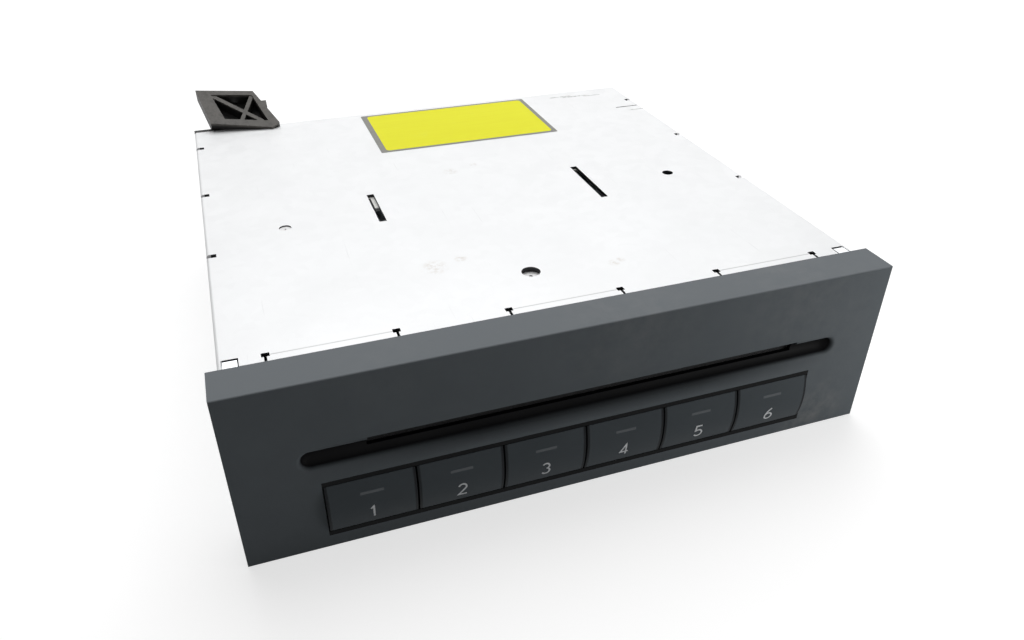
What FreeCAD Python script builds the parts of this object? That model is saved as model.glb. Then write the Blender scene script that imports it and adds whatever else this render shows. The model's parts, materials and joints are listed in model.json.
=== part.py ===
import FreeCAD, Part
import math
import os
import Sketcher

# In-dash car CD changer for six discs, single-DIN size.
# Millimetres. +Z is up, +Y points into the dashboard, the origin is the middle of the
# chassis underside. The disc mechanism sits a little to the right of the middle (slot_shift).

doc = FreeCAD.newDocument("DiscChanger")
sheet = doc.addObject("Spreadsheet::Sheet", "Sizes")

SIZES = {
    # sheet metal case
    "chassis_width": 178.0,
    "chassis_depth": 166.0,
    "chassis_height": 51.5,
    "sheet_metal": 1.0,
    "cover_flange": 13.0,
    "bend_radius": 1.6,
    "front_lip_width": 31.2,
    "front_lip_inset": 27.6,
    "front_lip_drop": 3.2,
    "front_relief": 7.2,
    "relief_slit": 0.7,
    "relief_notch": 1.3,
    "relief_inset": 0.7,
    "relief_depth": 1.6,
    "front_bend_radius": 2.4,
    "corner_opening": 4.0,
    "corner_tab_depth": 6.4,
    "front_lip_shift": 0.5,
    "slit_length": 9.8,
    "slit_back": 57.3,
    "slit_width": 0.6,
    "cover_slot_width": 2.3,
    "cover_slot_length": 20.7,
    "cover_long_slot_length": 26.7,
    "cover_slot_place": 36.3,
    "cover_slot_back": 5.0,
    "cover_hole_radius": 1.85,
    "cover_hole_inset": 23.5,
    "cover_hole_back": -10.6,
    "cover_front_hole_radius": 2.7,
    "cover_front_hole_place": -4.1,
    "cover_front_hole_back": -60.1,
    "side_tab_length": 1.6,
    "side_tab_depth": 2.8,
    "side_tab_drop": 3.0,
    "side_tab_pitch": 43.6,
    "side_tab_first": -22.7,
    "front_way_margin": 3.0,
    "front_way_drop": 4.4,
    "front_way_top": 4.0,
    "lock_tab_margin": 0.5,
    "lock_tab_length": 11.0,
    "lock_tab_reach": 1.0,
    "lock_tab_gauge": 1.2,
    # moulded front
    "bezel_side_lip": 2.5,
    "bezel_top_lip": 1.5,
    "bezel_depth": 10.0,
    "bezel_skirt": 1.5,
    "skirt_gap": 0.1,
    "bezel_wall": 2.4,
    "bezel_edge": 0.45,
    "slot_clearance": 2.5,
    "slot_opening": 4.3,
    "disc_drop": 1.35,
    "slot_drop": 19.5,
    "scoop_reach": 31.0,
    "scoop_shift": 1.1,
    "scoop_height": 7.1,
    "scoop_depth": 2.6,
    "scoop_rim": 1.2,
    "scoop_shell": 1.2,
    "window_inset": 21.0,
    "window_height": 15.5,
    "window_bottom": 5.4,
    "felt_thickness": 0.8,
    "felt_reach": 2.0,
    "felt_gap": 0.9,
    "felt_margin": 2.0,
    # preset buttons
    "button_gap": 0.5,
    "button_crown": 1.2,
    "button_wall": 1.3,
    "button_flange": 1.2,
    "button_travel": 0.8,
    "button_roof_inset": 0.4,
    "button_boss": 3.6,
    "board_thickness": 1.6,
    "button_board_margin": 4.0,
    "button_board_drop": 5.4,
    "switch_side": 6.2,
    "switch_thickness": 2.2,
    "switch_stem": 3.2,
    "switch_stem_length": 0.7,
    "led_length": 3.0,
    "led_width": 1.2,
    "led_height": 0.8,
    "led_drop": 3.6,
    # clearances
    "slide_gap": 0.3,
    "pin_gap": 0.06,
    "guide_gap": 0.2,
    # suspended mechanism frame
    "frame_gauge": 1.2,
    "left_bay": 18.3,
    "right_bay": 12.3,
    "frame_front_gap": 3.0,
    "frame_back_gap": 4.0,
    "deck_gap": 3.2,
    "deck_back_gap": 11.0,
    "frame_headroom": 4.5,
    "damper_half_width": 4.5,
    "damper_inset_x": 9.7,
    "damper_inset_y": 19.0,
    "damper_pin_radius": 1.6,
    "damper_head": 1.2,
    # disc path
    "disc_thickness": 1.2,
    "disc_radius": 60.0,
    "roller_radius": 3.2,
    "roller_shaft_radius": 1.25,
    "roller_inset": 7.0,
    "sleeve_length": 50.0,
    "sleeve_gap": 10.0,
    "guide_depth": 20.0,
    "guide_rise": 3.4,
    "guide_notch_half": 30.0,
    "guide_notch_depth": 6.0,
    "guide_felt_width": 4.0,
    "guide_felt_inset": 3.0,
    # loading drive
    "load_module": 0.5,
    "roller_teeth": 20.0,
    "idler_teeth": 30.0,
    "pinion_teeth": 12.0,
    "idler_angle": -35.0,
    "load_motor_angle": -5.0,
    "gear_width": 2.4,
    "axle_radius": 1.0,
    "plate_axle_margin": 6.0,
    "plate_axle_rise": 4.0,
    "plate_motor_margin": 8.0,
    "plate_ear_margin": 1.0,
    "motor_radius": 7.5,
    "motor_shaft_radius": 0.75,
    "bracket_gauge": 1.0,
    # elevator with six shelves
    "carriage_gap": 3.3,
    "carriage_front_gap": 45.0,
    "carriage_back_gap": 2.0,
    "carriage_above": 1.8,
    "shelf_gauge": 0.8,
    "shelf_pitch": 2.9,
    "shelf_margin": 3.0,
    "shelf_back_gap": 2.0,
    "shelf_clearance": 3.7,
    "shelf_web": 9.0,
    "shelf_mouth": 8.0,
    "shelf_corner": 3.0,
    "shelf_tab_length": 10.0,
    "shelf_tab_inset": 10.0,
    "lift_pin_radius": 1.2,
    "lift_pin_inset": 8.0,
    "lift_pin_pitch": 70.0,
    # lift drive
    "cam_run": 2.0,
    "cam_margin": 3.4,
    "cam_gauge": 1.2,
    "cam_window_share": 0.55,
    "cam_window_inset": 1.0,
    "cam_window_rise": 6.0,
    "rack_module": 0.6,
    "lift_pinion_teeth": 14.0,
    "lift_gear_teeth": 28.0,
    "lift_gear_width": 1.5,
    "lift_pinion_inset": 20.0,
    "lift_motor_angle": -30.0,
    # playing unit
    "spindle_inset": 71.0,
    "traverse_half_width": 30.0,
    "traverse_nose": 18.0,
    "pivot_margin": 4.0,
    "traverse_drop": 6.4,
    "pivot_inset": 8.0,
    "pivot_radius": 1.5,
    "pivot_ear_half": 4.0,
    "pivot_foot": 5.0,
    "pivot_pin_reach": 0.4,
    "traverse_corner": 10.0,
    "traverse_flange_drop": 3.0,
    "sled_window_half": 12.0,
    "platter_radius": 14.0,
    "platter_thickness": 1.6,
    "hub_radius": 7.3,
    "hub_height": 1.4,
    "hub_taper": 1.4,
    "spindle_radius": 1.0,
    "spindle_motor_radius": 11.6,
    "spindle_motor_height": 5.6,
    "rod_radius": 1.0,
    "rod_left": 19.0,
    "rod_right": 17.0,
    "rod_drop": 2.2,
    "tab_drop": 2.2,
    "tab_margin": 2.5,
    "sled_length": 16.0,
    "sled_thickness": 3.4,
    "sled_first_radius": 23.0,
    "sled_stop": 9.0,
    "sled_margin": 3.0,
    "nut_margin": 2.5,
    "head_half_width": 9.0,
    "head_half_length": 6.5,
    "lens_thickness": 0.8,
    "lens_radius": 2.5,
    "lens_gap": 1.7,
    "screw_radius": 1.0,
    "screw_inset": 6.0,
    "sled_motor_radius": 4.6,
    "sled_motor_length": 12.0,
    # clamp and disc guides
    "clamp_arm_half_width": 11.0,
    "clamp_pivot_inset": 17.0,
    "clamp_pivot_rise": 3.6,
    "clamp_lug": 0.8,
    "clamp_arm_gauge": 1.2,
    "clamp_ear_half": 3.0,
    "clamp_shoulder": 14.0,
    "clamp_rim": 6.0,
    "clamp_tip_margin": 5.0,
    "clamp_window_start": 8.0,
    "clamp_window_end": 12.0,
    "clamp_flange": 1.6,
    "puck_radius": 12.5,
    "puck_thickness": 2.4,
    "puck_stem_radius": 3.0,
    "puck_cap_margin": 1.5,
    "puck_cap_height": 1.0,
    "lever_inset": 9.5,
    "lever_pivot_inset": 15.0,
    "lever_tip_side": 13.0,
    "lever_tip_reach": 17.0,
    "lever_radius": 3.0,
    "lever_gauge": 1.0,
    "lever_pin_radius": 1.2,
    "lever_pin_reach": 1.0,
    # electronics and sockets
    "standoff": 2.4,
    "standoff_width": 5.0,
    "standoff_inset": 6.0,
    "main_board_gap": 5.0,
    "main_board_inset": 25.0,
    "main_board_back_gap": 3.0,
    "chip_side": 14.0,
    "chip_height": 1.8,
    "socket_place": -33.0,
    "socket_width": 32.0,
    "socket_height": 10.4,
    "socket_depth": 12.0,
    "socket_wall": 1.3,
    "socket_proud": 1.4,
    "socket_pin_side": 0.7,
    "socket_pin_pitch": 3.0,
    "socket_pin_length": 5.0,
    # rear hold-down bracket
    "ramp_angle": 30.0,
    "ramp_gauge": 6.0,
    "ramp_overlap": 3.0,
    "ramp_rise": 2.1,
    "ramp_inset": 3.0,
    "ramp_near_setback": 3.6,
    "ramp_near_reach": 2.5,
    "ramp_near_width": 22.7,
    "ramp_near_overlap": 2.6,
    "ramp_corner": 2.7,
    "ramp_corner_overlap": 0.4,
    "ramp_far_width": 21.4,
    "ramp_length": 19.9,
    "ramp_skew": 3.1,
    "ramp_broad_rim": 5.4,
    "ramp_rim": 2.0,
    "ramp_rib": 1.5,
    "ramp_rib_drop": 0.3,
    "ramp_skin": 0.9,
    "ramp_long_rib_share": 0.87,
    "ramp_short_rib_share": 0.39,
    "ramp_hole_inset": 13.3,
    "ramp_hole_reach": 14.2,
    "ramp_hole_radius": 1.1,
    "ramp_peg_share": 0.62,
    "ramp_peg_width": 1.4,
    "ramp_peg_length": 3.0,
    "ramp_foot_height": 16.0,
    "ramp_foot_gauge": 2.6,
    # fasteners and fixing holes
    "bracket_screw_inset": 5.0,
    "bracket_screw_pitch": 19.0,
    "screw_head_radius": 2.5,
    "screw_head_height": 1.5,
    "fixing_hole_radius": 2.1,
    "fixing_hole_pitch": 80.0,
    "fixing_hole_rise": 20.0,
    "fixing_hole_back": -5.0,
}

for row, (alias, value) in enumerate(SIZES.items(), start=1):
    sheet.set(f"A{row}", alias)
    sheet.set(f"B{row}", str(value))
    sheet.setAlias(f"B{row}", alias)
doc.recompute()


class Dim:
    """A length worked out from the sheet: its value, and the expression that gives it."""

    def __init__(self, value, text):
        self.value = value
        self.text = text

    def __add__(self, other):
        return Dim(self.value + dim(other).value, f"({self.text} + {dim(other).text})")

    def __sub__(self, other):
        return Dim(self.value - dim(other).value, f"({self.text} - {dim(other).text})")

    def __mul__(self, other):
        return Dim(self.value * dim(other).value, f"({self.text} * {dim(other).text})")

    def __truediv__(self, other):
        return Dim(self.value / dim(other).value, f"({self.text} / {dim(other).text})")

    def __neg__(self):
        return Dim(-self.value, f"(0 - {self.text})")

    def __radd__(self, other):
        return dim(other) + self

    def __rsub__(self, other):
        return dim(other) - self

    def __rmul__(self, other):
        return dim(other) * self


def dim(value):
    return value if isinstance(value, Dim) else Dim(float(value), repr(float(value)))


def root(length):
    return Dim(math.sqrt(length.value), f"sqrt({length.text})")


def cosine(angle):
    angle = dim(angle)
    return Dim(math.cos(math.radians(angle.value)), f"cos({angle.text} * 1deg)")


def sine(angle):
    angle = dim(angle)
    return Dim(math.sin(math.radians(angle.value)), f"sin({angle.text} * 1deg)")


class Sheet:
    """Reads a driving dimension by its alias."""

    def __getattr__(self, alias):
        return Dim(float(sheet.get(alias)), f"Sizes.{alias}")


s = Sheet()
ZERO = dim(0)
NEAR = 0.01
nodes = []


def node(piece, name):
    """Makes an object one of the exported sub-parts."""
    piece.Label = name
    nodes.append(piece)
    return piece


def bind(piece, bindings):
    for prop, length in bindings.items():
        piece.setExpression(prop, dim(length).text)


# Part primitives and booleans

def box(x0, x1, y0, y1, z0, z1):
    piece = doc.addObject("Part::Box", "Block")
    bind(piece, {
        "Length": dim(x1) - x0,
        "Width": dim(y1) - y0,
        "Height": dim(z1) - z0,
        "Placement.Base.x": x0,
        "Placement.Base.y": y0,
        "Placement.Base.z": z0,
    })
    return piece


TURNS = {
    "X": FreeCAD.Rotation(FreeCAD.Vector(0, 1, 0), 90),
    "Y": FreeCAD.Rotation(FreeCAD.Vector(1, 0, 0), -90),
    "Z": FreeCAD.Rotation(),
}


def rod(axis, radius, start, end, place):
    """A cylinder from start to end along an axis; place holds its other two coordinates."""
    base = {"X": (start, *place), "Y": (place[0], start, place[1]), "Z": (*place, start)}[axis]
    piece = doc.addObject("Part::Cylinder", "Rod")
    piece.Placement = FreeCAD.Placement(FreeCAD.Vector(), TURNS[axis])
    bind(piece, {
        "Radius": radius,
        "Height": dim(end) - start,
        "Placement.Base.x": base[0],
        "Placement.Base.y": base[1],
        "Placement.Base.z": base[2],
    })
    return piece


def six_sided(axis, radius, start, end, place):
    """A hexagonal prism, such as a screw head."""
    base = {"Y": (place[0], start, place[1]), "Z": (*place, start)}[axis]
    piece = doc.addObject("Part::Prism", "Head")
    piece.Polygon = 6
    piece.Placement = FreeCAD.Placement(FreeCAD.Vector(), TURNS[axis])
    bind(piece, {
        "Circumradius": radius,
        "Height": dim(end) - start,
        "Placement.Base.x": base[0],
        "Placement.Base.y": base[1],
        "Placement.Base.z": base[2],
    })
    return piece


def rounded(piece, radius, chosen):
    """Rounds the edges of a finished piece for which chosen(edge) is true."""
    names = [index for index, edge in enumerate(piece.Shape.Edges, 1) if chosen(edge)]
    fillet = doc.addObject("Part::Fillet", "SoftRim")
    fillet.Base = piece
    fillet.Edges = [(index, radius.value, radius.value) for index in names]
    return fillet


def fuse(*pieces):
    if len(pieces) == 1:
        return pieces[0]
    result = doc.addObject("Part::MultiFuse", "Joined")
    result.Shapes = list(pieces)
    return result


def cut(base, *tools):
    result = doc.addObject("Part::Cut", "Cut")
    result.Base = base
    result.Tool = fuse(*tools)
    return result


def common(*pieces):
    result = doc.addObject("Part::MultiCommon", "Shared")
    result.Shapes = list(pieces)
    return result


def group(pieces):
    """Separate solids that share one node."""
    result = doc.addObject("Part::Compound", "Group")
    result.Links = list(pieces)
    return result


# Sketched bodies. An outline is a function that draws one closed loop into a sketch.

def pin_point(sketch, shape, end, x, y):
    """Fixes a point of a sketch at expressions of the sheet."""
    for kind, length in (("DistanceX", dim(x)), ("DistanceY", dim(y))):
        index = sketch.addConstraint(Sketcher.Constraint(kind, shape, end, length.value))
        sketch.setExpression(f"Constraints[{index}]", length.text)


def outline(*points):
    def draw(sketch):
        corners = [FreeCAD.Vector(dim(x).value, dim(y).value, 0) for x, y in points]
        ends = corners[1:] + corners[:1]
        lines = [sketch.addGeometry(Part.LineSegment(a, b), False) for a, b in zip(corners, ends)]
        for line, following in zip(lines, lines[1:] + lines[:1]):
            sketch.addConstraint(Sketcher.Constraint("Coincident", line, 2, following, 1))
        for line, (x, y) in zip(lines, points):
            pin_point(sketch, line, 1, x, y)
    return draw


def rectangle(x0, x1, y0, y1):
    return outline((x0, y0), (x1, y0), (x1, y1), (x0, y1))


def square(x, y, half):
    return rectangle(x - half, x + half, y - half, y + half)


def circle(x, y, radius):
    def draw(sketch):
        centre = FreeCAD.Vector(dim(x).value, dim(y).value, 0)
        normal = FreeCAD.Vector(0, 0, 1)
        shape = sketch.addGeometry(Part.Circle(centre, normal, dim(radius).value), False)
        pin_point(sketch, shape, 3, x, y)
        index = sketch.addConstraint(Sketcher.Constraint("Radius", shape, dim(radius).value))
        sketch.setExpression(f"Constraints[{index}]", dim(radius).text)
    return draw


def strip(first, last, half, beyond=ZERO):
    """A straight strip between two points, half as wide to each side and longer at its ends."""
    (x0, y0), (x1, y1) = first, last
    reach = root((x1 - x0) * (x1 - x0) + (y1 - y0) * (y1 - y0))
    along_x, along_y = (x1 - x0) / reach, (y1 - y0) / reach
    side_x, side_y = -along_y * half, along_x * half
    x0, y0 = x0 - along_x * beyond, y0 - along_y * beyond
    x1, y1 = x1 + along_x * beyond, y1 + along_y * beyond
    return outline((x0 + side_x, y0 + side_y), (x0 - side_x, y0 - side_y),
                   (x1 - side_x, y1 - side_y), (x1 + side_x, y1 + side_y))


class Sketched:
    """A PartDesign body that is built up from slabs and pockets parallel to its planes."""

    def __init__(self, name):
        self.body = doc.addObject("PartDesign::Body", name)

    def sketch(self, plane, offset, outlines):
        sketch = self.body.newObject("Sketcher::SketchObject", "Outline")
        faces = [face for face in self.body.Origin.OriginFeatures if face.Role == plane + "_Plane"]
        sketch.AttachmentSupport = [(faces[0], "")]
        sketch.MapMode = "FlatFace"
        sketch.setExpression("AttachmentOffset.Base.z", dim(offset).text)
        for draw in outlines:
            draw(sketch)
        return sketch

    def slab(self, plane, low, high, *outlines):
        """Adds material between two levels; the XZ plane's sketches face -Y."""
        offset = -dim(high) if plane == "XZ" else low
        pad = self.body.newObject("PartDesign::Pad", "Slab")
        pad.Profile = self.sketch(plane, offset, outlines)
        bind(pad, {"Length": dim(high) - low})
        return self

    def pocket(self, plane, low, high, *outlines):
        """Takes material away between two levels."""
        offset = -dim(low) if plane == "XZ" else high
        before = self.volume()
        pocket = self.body.newObject("PartDesign::Pocket", "Opening")
        pocket.Profile = self.sketch(plane, offset, outlines)
        bind(pocket, {"Length": dim(high) - low})
        if not self.volume() < before:
            raise RuntimeError(f"{self.body.Label}: a pocket cuts nothing")
        return self

    def fillet(self, radius, chosen):
        """Rounds the edges for which chosen(edge) is true."""
        doc.recompute()
        base = self.body.Tip
        names = [f"Edge{i}" for i, edge in enumerate(base.Shape.Edges, 1) if chosen(edge)]
        fillet = self.body.newObject("PartDesign::Fillet", "Round")
        fillet.Base = (base, names)
        bind(fillet, {"Radius": radius})
        return self

    def volume(self):
        doc.recompute()
        return self.body.Shape.Volume


# Levels and places that several pieces share

half_width = s.chassis_width / 2
half_depth = s.chassis_depth / 2
case_front = -half_depth
case_back = half_depth
gauge = s.sheet_metal
cover_under = s.chassis_height - gauge
wall_out = half_width - gauge
wall_inside = wall_out - gauge
side_reliefs = [s.side_tab_first + s.side_tab_pitch * index for index in range(3)]
cover_hole_place = half_width - s.cover_hole_inset
front_lip_pitch = half_width - s.front_lip_inset
bezel_front = case_front - s.bezel_depth
bezel_width = s.chassis_width + s.bezel_side_lip * 2
bezel_height = s.chassis_height + s.bezel_top_lip
bezel_half = bezel_width / 2
window_length = bezel_width - s.window_inset * 2
slot_length = s.disc_radius * 2 + s.slot_clearance
scoop_length = slot_length + s.scoop_reach
slot_top = bezel_height - s.slot_drop
slot_bottom = slot_top - s.slot_opening
disc_level = slot_top - s.disc_drop
disc_under = disc_level - s.disc_thickness / 2
board_back = case_front
board_front = board_back - s.board_thickness

# the main board lies on standoffs, and the deck of the disc mechanism is above its chips
main_board_low = gauge + s.standoff
main_board_top = main_board_low + s.board_thickness
main_board_front = case_front + s.main_board_inset
main_board_back = case_back - s.main_board_back_gap
deck_low = main_board_top + s.chip_height + s.deck_gap
deck_top = deck_low + s.frame_gauge
frame_left = s.left_bay - wall_inside
frame_right = wall_inside - s.right_bay
frame_half = (frame_right - frame_left) / 2
middle = (s.left_bay - s.right_bay) / 2
frame_front = case_front + s.frame_front_gap
frame_back = case_back - s.frame_back_gap
frame_top = cover_under - s.frame_headroom
deck_back = case_back - s.deck_back_gap
damper_x = frame_half - s.damper_inset_x
damper_y = half_depth - s.damper_inset_y
main_board_half = damper_x - s.damper_half_width - s.main_board_gap
BEND_ANGLES = (0.0, 30.0, 60.0, 90.0)


# Sheet metal case

def chassis_pan():
    pan = Sketched("Pan")
    pan.slab("XY", ZERO, gauge, rectangle(-wall_out, wall_out, case_front, case_back))
    for sign in (-1, 1):
        inner, outer = sorted((sign * wall_inside, sign * wall_out), key=lambda x: x.value)
        pan.slab("XY", gauge, cover_under, rectangle(inner, outer, case_front, case_back))
        low, high = sorted((sign * wall_out, sign * half_width), key=lambda x: x.value)
        skirt_top = s.chassis_height - s.cover_flange
        pan.slab("XY", ZERO, skirt_top, rectangle(low, high, case_front, case_back))
        notches = [rectangle(inner, outer, back - s.guide_gap, back + s.side_tab_length
                             + s.guide_gap) for back in side_reliefs]
        pan.pocket("XY", cover_under - s.side_tab_drop, cover_under, *notches)
    front_wall_top = s.chassis_height - s.front_lip_drop - s.slide_gap
    front_wall = (case_front, case_front + gauge)
    pan.slab("XY", gauge, front_wall_top, rectangle(-wall_inside, wall_inside, *front_wall))
    pan.slab("XY", gauge, cover_under,
             rectangle(-wall_inside, wall_inside, case_back - gauge, case_back))
    # tabs bent back from the front wall fill most of the cover's corner openings
    for sign in (-1, 1):
        inner, outer = sorted((sign * (wall_out - s.corner_opening), sign * wall_out),
                              key=lambda x: x.value)
        inner += s.slide_gap
        outer -= s.slide_gap
        pan.slab("XY", front_wall_top, cover_under, rectangle(inner, outer, *front_wall))
        pan.slab("XY", cover_under, s.chassis_height, rectangle(
            inner, outer, case_front, case_front + s.corner_tab_depth))
    half_way = slot_length / 2 + s.front_way_margin
    disc_way = rectangle(middle - half_way, middle + half_way,
                         slot_bottom - s.felt_reach - s.front_way_drop,
                         cover_under - s.front_way_top)
    pan.pocket("XZ", case_front, case_front + gauge, disc_way)
    socket_way = rectangle(s.socket_place - s.socket_width / 2 - s.guide_gap,
                           s.socket_place + s.socket_width / 2 + s.guide_gap,
                           main_board_top - s.guide_gap,
                           main_board_top + s.socket_height + s.guide_gap)
    pan.pocket("XZ", case_back - gauge, case_back, socket_way)
    for index in range(2):
        back = s.fixing_hole_back + s.fixing_hole_pitch * (index - 0.5)
        hole = circle(back, s.fixing_hole_rise, s.fixing_hole_radius)
        pan.pocket("YZ", wall_inside, half_width, hole)
        pan.pocket("YZ", -half_width, -wall_inside, hole)
    # lugs lanced up from the floor carry the main board
    half = s.standoff_width / 2
    lugs = [rectangle(x - half, x + half, y - half, y + half)
            for x in (s.standoff_inset - main_board_half, main_board_half - s.standoff_inset)
            for y in (main_board_front + s.standoff_inset, main_board_back - s.standoff_inset)]
    pan.slab("XY", gauge, main_board_low, *lugs)
    return node(pan.body, "chassis_pan")


def top_cover():
    cover = Sketched("Cover")
    top = s.chassis_height
    flange_low = top - s.cover_flange
    profile = outline((-half_width, flange_low), (-half_width + gauge, flange_low),
                      (-half_width + gauge, cover_under), (half_width - gauge, cover_under),
                      (half_width - gauge, flange_low), (half_width, flange_low),
                      (half_width, top), (-half_width, top))
    cover.slab("XZ", case_front, case_back, profile)
    cover.fillet(s.bend_radius / 2, lambda edge: (
        edge.BoundBox.ZMin > top.value - NEAR and edge.BoundBox.YLength > half_depth.value
        and abs(abs(edge.BoundBox.XMin) - half_width.value) < NEAR))
    lip_back = case_front + s.front_relief
    bend = s.front_bend_radius
    bend_back = case_front + s.slide_gap + bend
    bend_level = top - bend
    # three lips bent down between four flat tongues that reach the front
    lip_profile = [(lip_back, cover_under), (lip_back, top)]
    lip_profile += [(bend_back - bend * sine(angle), bend_level + bend * cosine(angle))
                    for angle in BEND_ANGLES]
    lip_profile += [(bend_back - bend, top - s.front_lip_drop),
                    (bend_back - bend + gauge, top - s.front_lip_drop)]
    lip_profile += [(bend_back - (bend - gauge) * sine(angle),
                     bend_level + (bend - gauge) * cosine(angle))
                    for angle in reversed(BEND_ANGLES)]
    for index in range(3):
        centre = front_lip_pitch * (index - 1) - s.front_lip_shift
        left = centre - s.front_lip_width / 2
        right = centre + s.front_lip_width / 2
        slit = s.relief_slit
        cover.pocket("XY", cover_under, top, rectangle(left - slit, right + slit,
                                                       case_front - gauge, lip_back))
        cover.slab("YZ", left, right, outline(*lip_profile))
        # wider reliefs where the slits end
        reliefs = [rectangle(near, far, lip_back - s.relief_depth, lip_back)
                   for near, far in ((left - s.relief_notch, left + s.relief_inset),
                                     (right - s.relief_inset, right + s.relief_notch))]
        cover.pocket("XY", cover_under, top, *reliefs)
    for sign in (-1, 1):
        corner = sorted((sign * (wall_out - s.corner_opening), sign * wall_out),
                        key=lambda x: x.value)
        cover.pocket("XY", cover_under, top,
                     rectangle(*corner, case_front - gauge, case_front + s.front_relief))
        edge_in, edge_out = sorted((sign * (half_width - s.side_tab_depth),
                                    sign * half_width), key=lambda x: x.value)
        relief = [rectangle(edge_in, edge_out, back - s.guide_gap,
                            back + s.side_tab_length + s.guide_gap)
                  for back in side_reliefs]
        cover.pocket("XY", top - s.bend_radius, top, *relief)
        slot_x = sign * s.cover_slot_place
        length = s.cover_long_slot_length if sign > 0 else s.cover_slot_length
        cover.pocket("XY", cover_under, top,
                     rectangle(slot_x - s.cover_slot_width / 2, slot_x + s.cover_slot_width / 2,
                               s.cover_slot_back - length, s.cover_slot_back),
                     circle(sign * cover_hole_place, s.cover_hole_back, s.cover_hole_radius))
    # a slit beside the rear right corner
    cover.pocket("XY", cover_under, top, rectangle(
        wall_out - s.slit_length, wall_out, s.slit_back, s.slit_back + s.slit_width))
    cover.pocket("XY", cover_under, top, circle(s.cover_front_hole_place,
                                                s.cover_front_hole_back,
                                                s.cover_front_hole_radius))
    return node(cover.body, "top_cover")


def lock_tabs():
    """Transport lock tabs under the two slots of the cover."""
    half = s.cover_slot_width / 2 + s.lock_tab_margin
    back = s.cover_slot_back + s.lock_tab_reach
    tabs = [box(x - half, x + half, back - s.lock_tab_length, back,
                cover_under - s.lock_tab_gauge, cover_under)
            for x in (-s.cover_slot_place, s.cover_slot_place)]
    return node(group(tabs), "lock_tabs")


# Moulded front with its scoop, disc slot and button window

def front_bezel():
    bezel = Sketched("Bezel")
    wall = s.bezel_wall
    back = case_front
    inside = bezel_front + wall
    bezel.slab("XZ", bezel_front, back, rectangle(-bezel_half, bezel_half, ZERO, bezel_height))
    bezel.fillet(s.bezel_edge, lambda edge: edge.BoundBox.YMax < bezel_front.value + NEAR)
    bezel.pocket("XZ", inside, back,
                 rectangle(-bezel_half + wall, bezel_half - wall, wall, bezel_height - wall))
    # a thin skirt goes on over the sides and the top of the case
    lap = half_width + s.skirt_gap
    lap_top = s.chassis_height + s.skirt_gap
    bezel.slab("XZ", back, back + s.bezel_skirt, outline(
        (-bezel_half, ZERO), (-lap, ZERO), (-lap, lap_top), (lap, lap_top), (lap, ZERO),
        (bezel_half, ZERO), (bezel_half, bezel_height), (-bezel_half, bezel_height)))
    window_top = s.window_bottom + s.window_height
    half_window = window_length / 2
    bezel.pocket("XZ", bezel_front, inside,
                 rectangle(-half_window, half_window, s.window_bottom, window_top))
    # the scoop is a groove with ball ends and a soft rim, in a shell of even thickness
    half_scoop = s.scoop_height / 2
    radius = (half_scoop * half_scoop / s.scoop_depth + s.scoop_depth) / 2 - s.scoop_rim
    shell = radius + s.scoop_shell
    axis_front = bezel_front + s.scoop_depth - radius
    axis_level = slot_top - half_scoop
    left = s.scoop_shift - scoop_length / 2 + half_scoop
    right = s.scoop_shift + scoop_length / 2 - half_scoop
    bulge = common(rod("X", shell, left - shell, right + shell, (axis_front, axis_level)),
                   box(left - shell, right + shell, inside - s.pin_gap, case_front,
                       axis_level - shell, axis_level + shell))
    scooped = cut(fuse(bezel.body, bulge), capsule(left, right, axis_front, axis_level, radius))
    doc.recompute()
    rim = rounded(scooped, s.scoop_rim, lambda edge: (
        edge.BoundBox.YMax < bezel_front.value + NEAR
        and edge.BoundBox.ZMin > axis_level.value - radius.value - NEAR
        and edge.BoundBox.ZMax < axis_level.value + radius.value + NEAR))
    half_slot = slot_length / 2
    slot = box(middle - half_slot, middle + half_slot, bezel_front, case_front,
               slot_bottom, slot_top)
    return node(cut(rim, slot), "front_bezel")


def capsule(left, right, back, level, radius):
    """A rod along the front with a ball on each end."""
    return fuse(rod("X", radius, left, right, (back, level)),
                ball(left, back, level, radius), ball(right, back, level, radius))


def ball(x, y, z, radius):
    piece = doc.addObject("Part::Sphere", "Ball")
    bind(piece, {"Radius": radius, "Placement.Base.x": x, "Placement.Base.y": y,
                 "Placement.Base.z": z})
    return piece


def slot_felts():
    """Two strips behind the slot whose edges the disc parts."""
    half = slot_length / 2 + s.felt_margin
    upper_front = bezel_front + s.bezel_wall
    lower_front = bezel_front + s.scoop_depth + s.scoop_shell
    strips = [box(middle - half, middle + half, front, front + s.felt_thickness, low, high)
              for front, low, high in (
                  (upper_front, disc_level + s.felt_gap, slot_top + s.felt_reach),
                  (lower_front, slot_bottom - s.felt_reach, disc_level - s.felt_gap))]
    return node(group(strips), "slot_felts")


# Preset buttons: convex keycaps that push the switches on the front board

BUTTONS = 6
window_middle = s.window_bottom + s.window_height / 2
button_pitch = window_length / BUTTONS
cap_height = s.window_height - 2 * s.guide_gap
switch_front = board_front - s.switch_thickness
stem_front = switch_front - s.switch_stem_length


def button_centre(index):
    return button_pitch * (index - (BUTTONS - 1) / 2)


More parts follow.
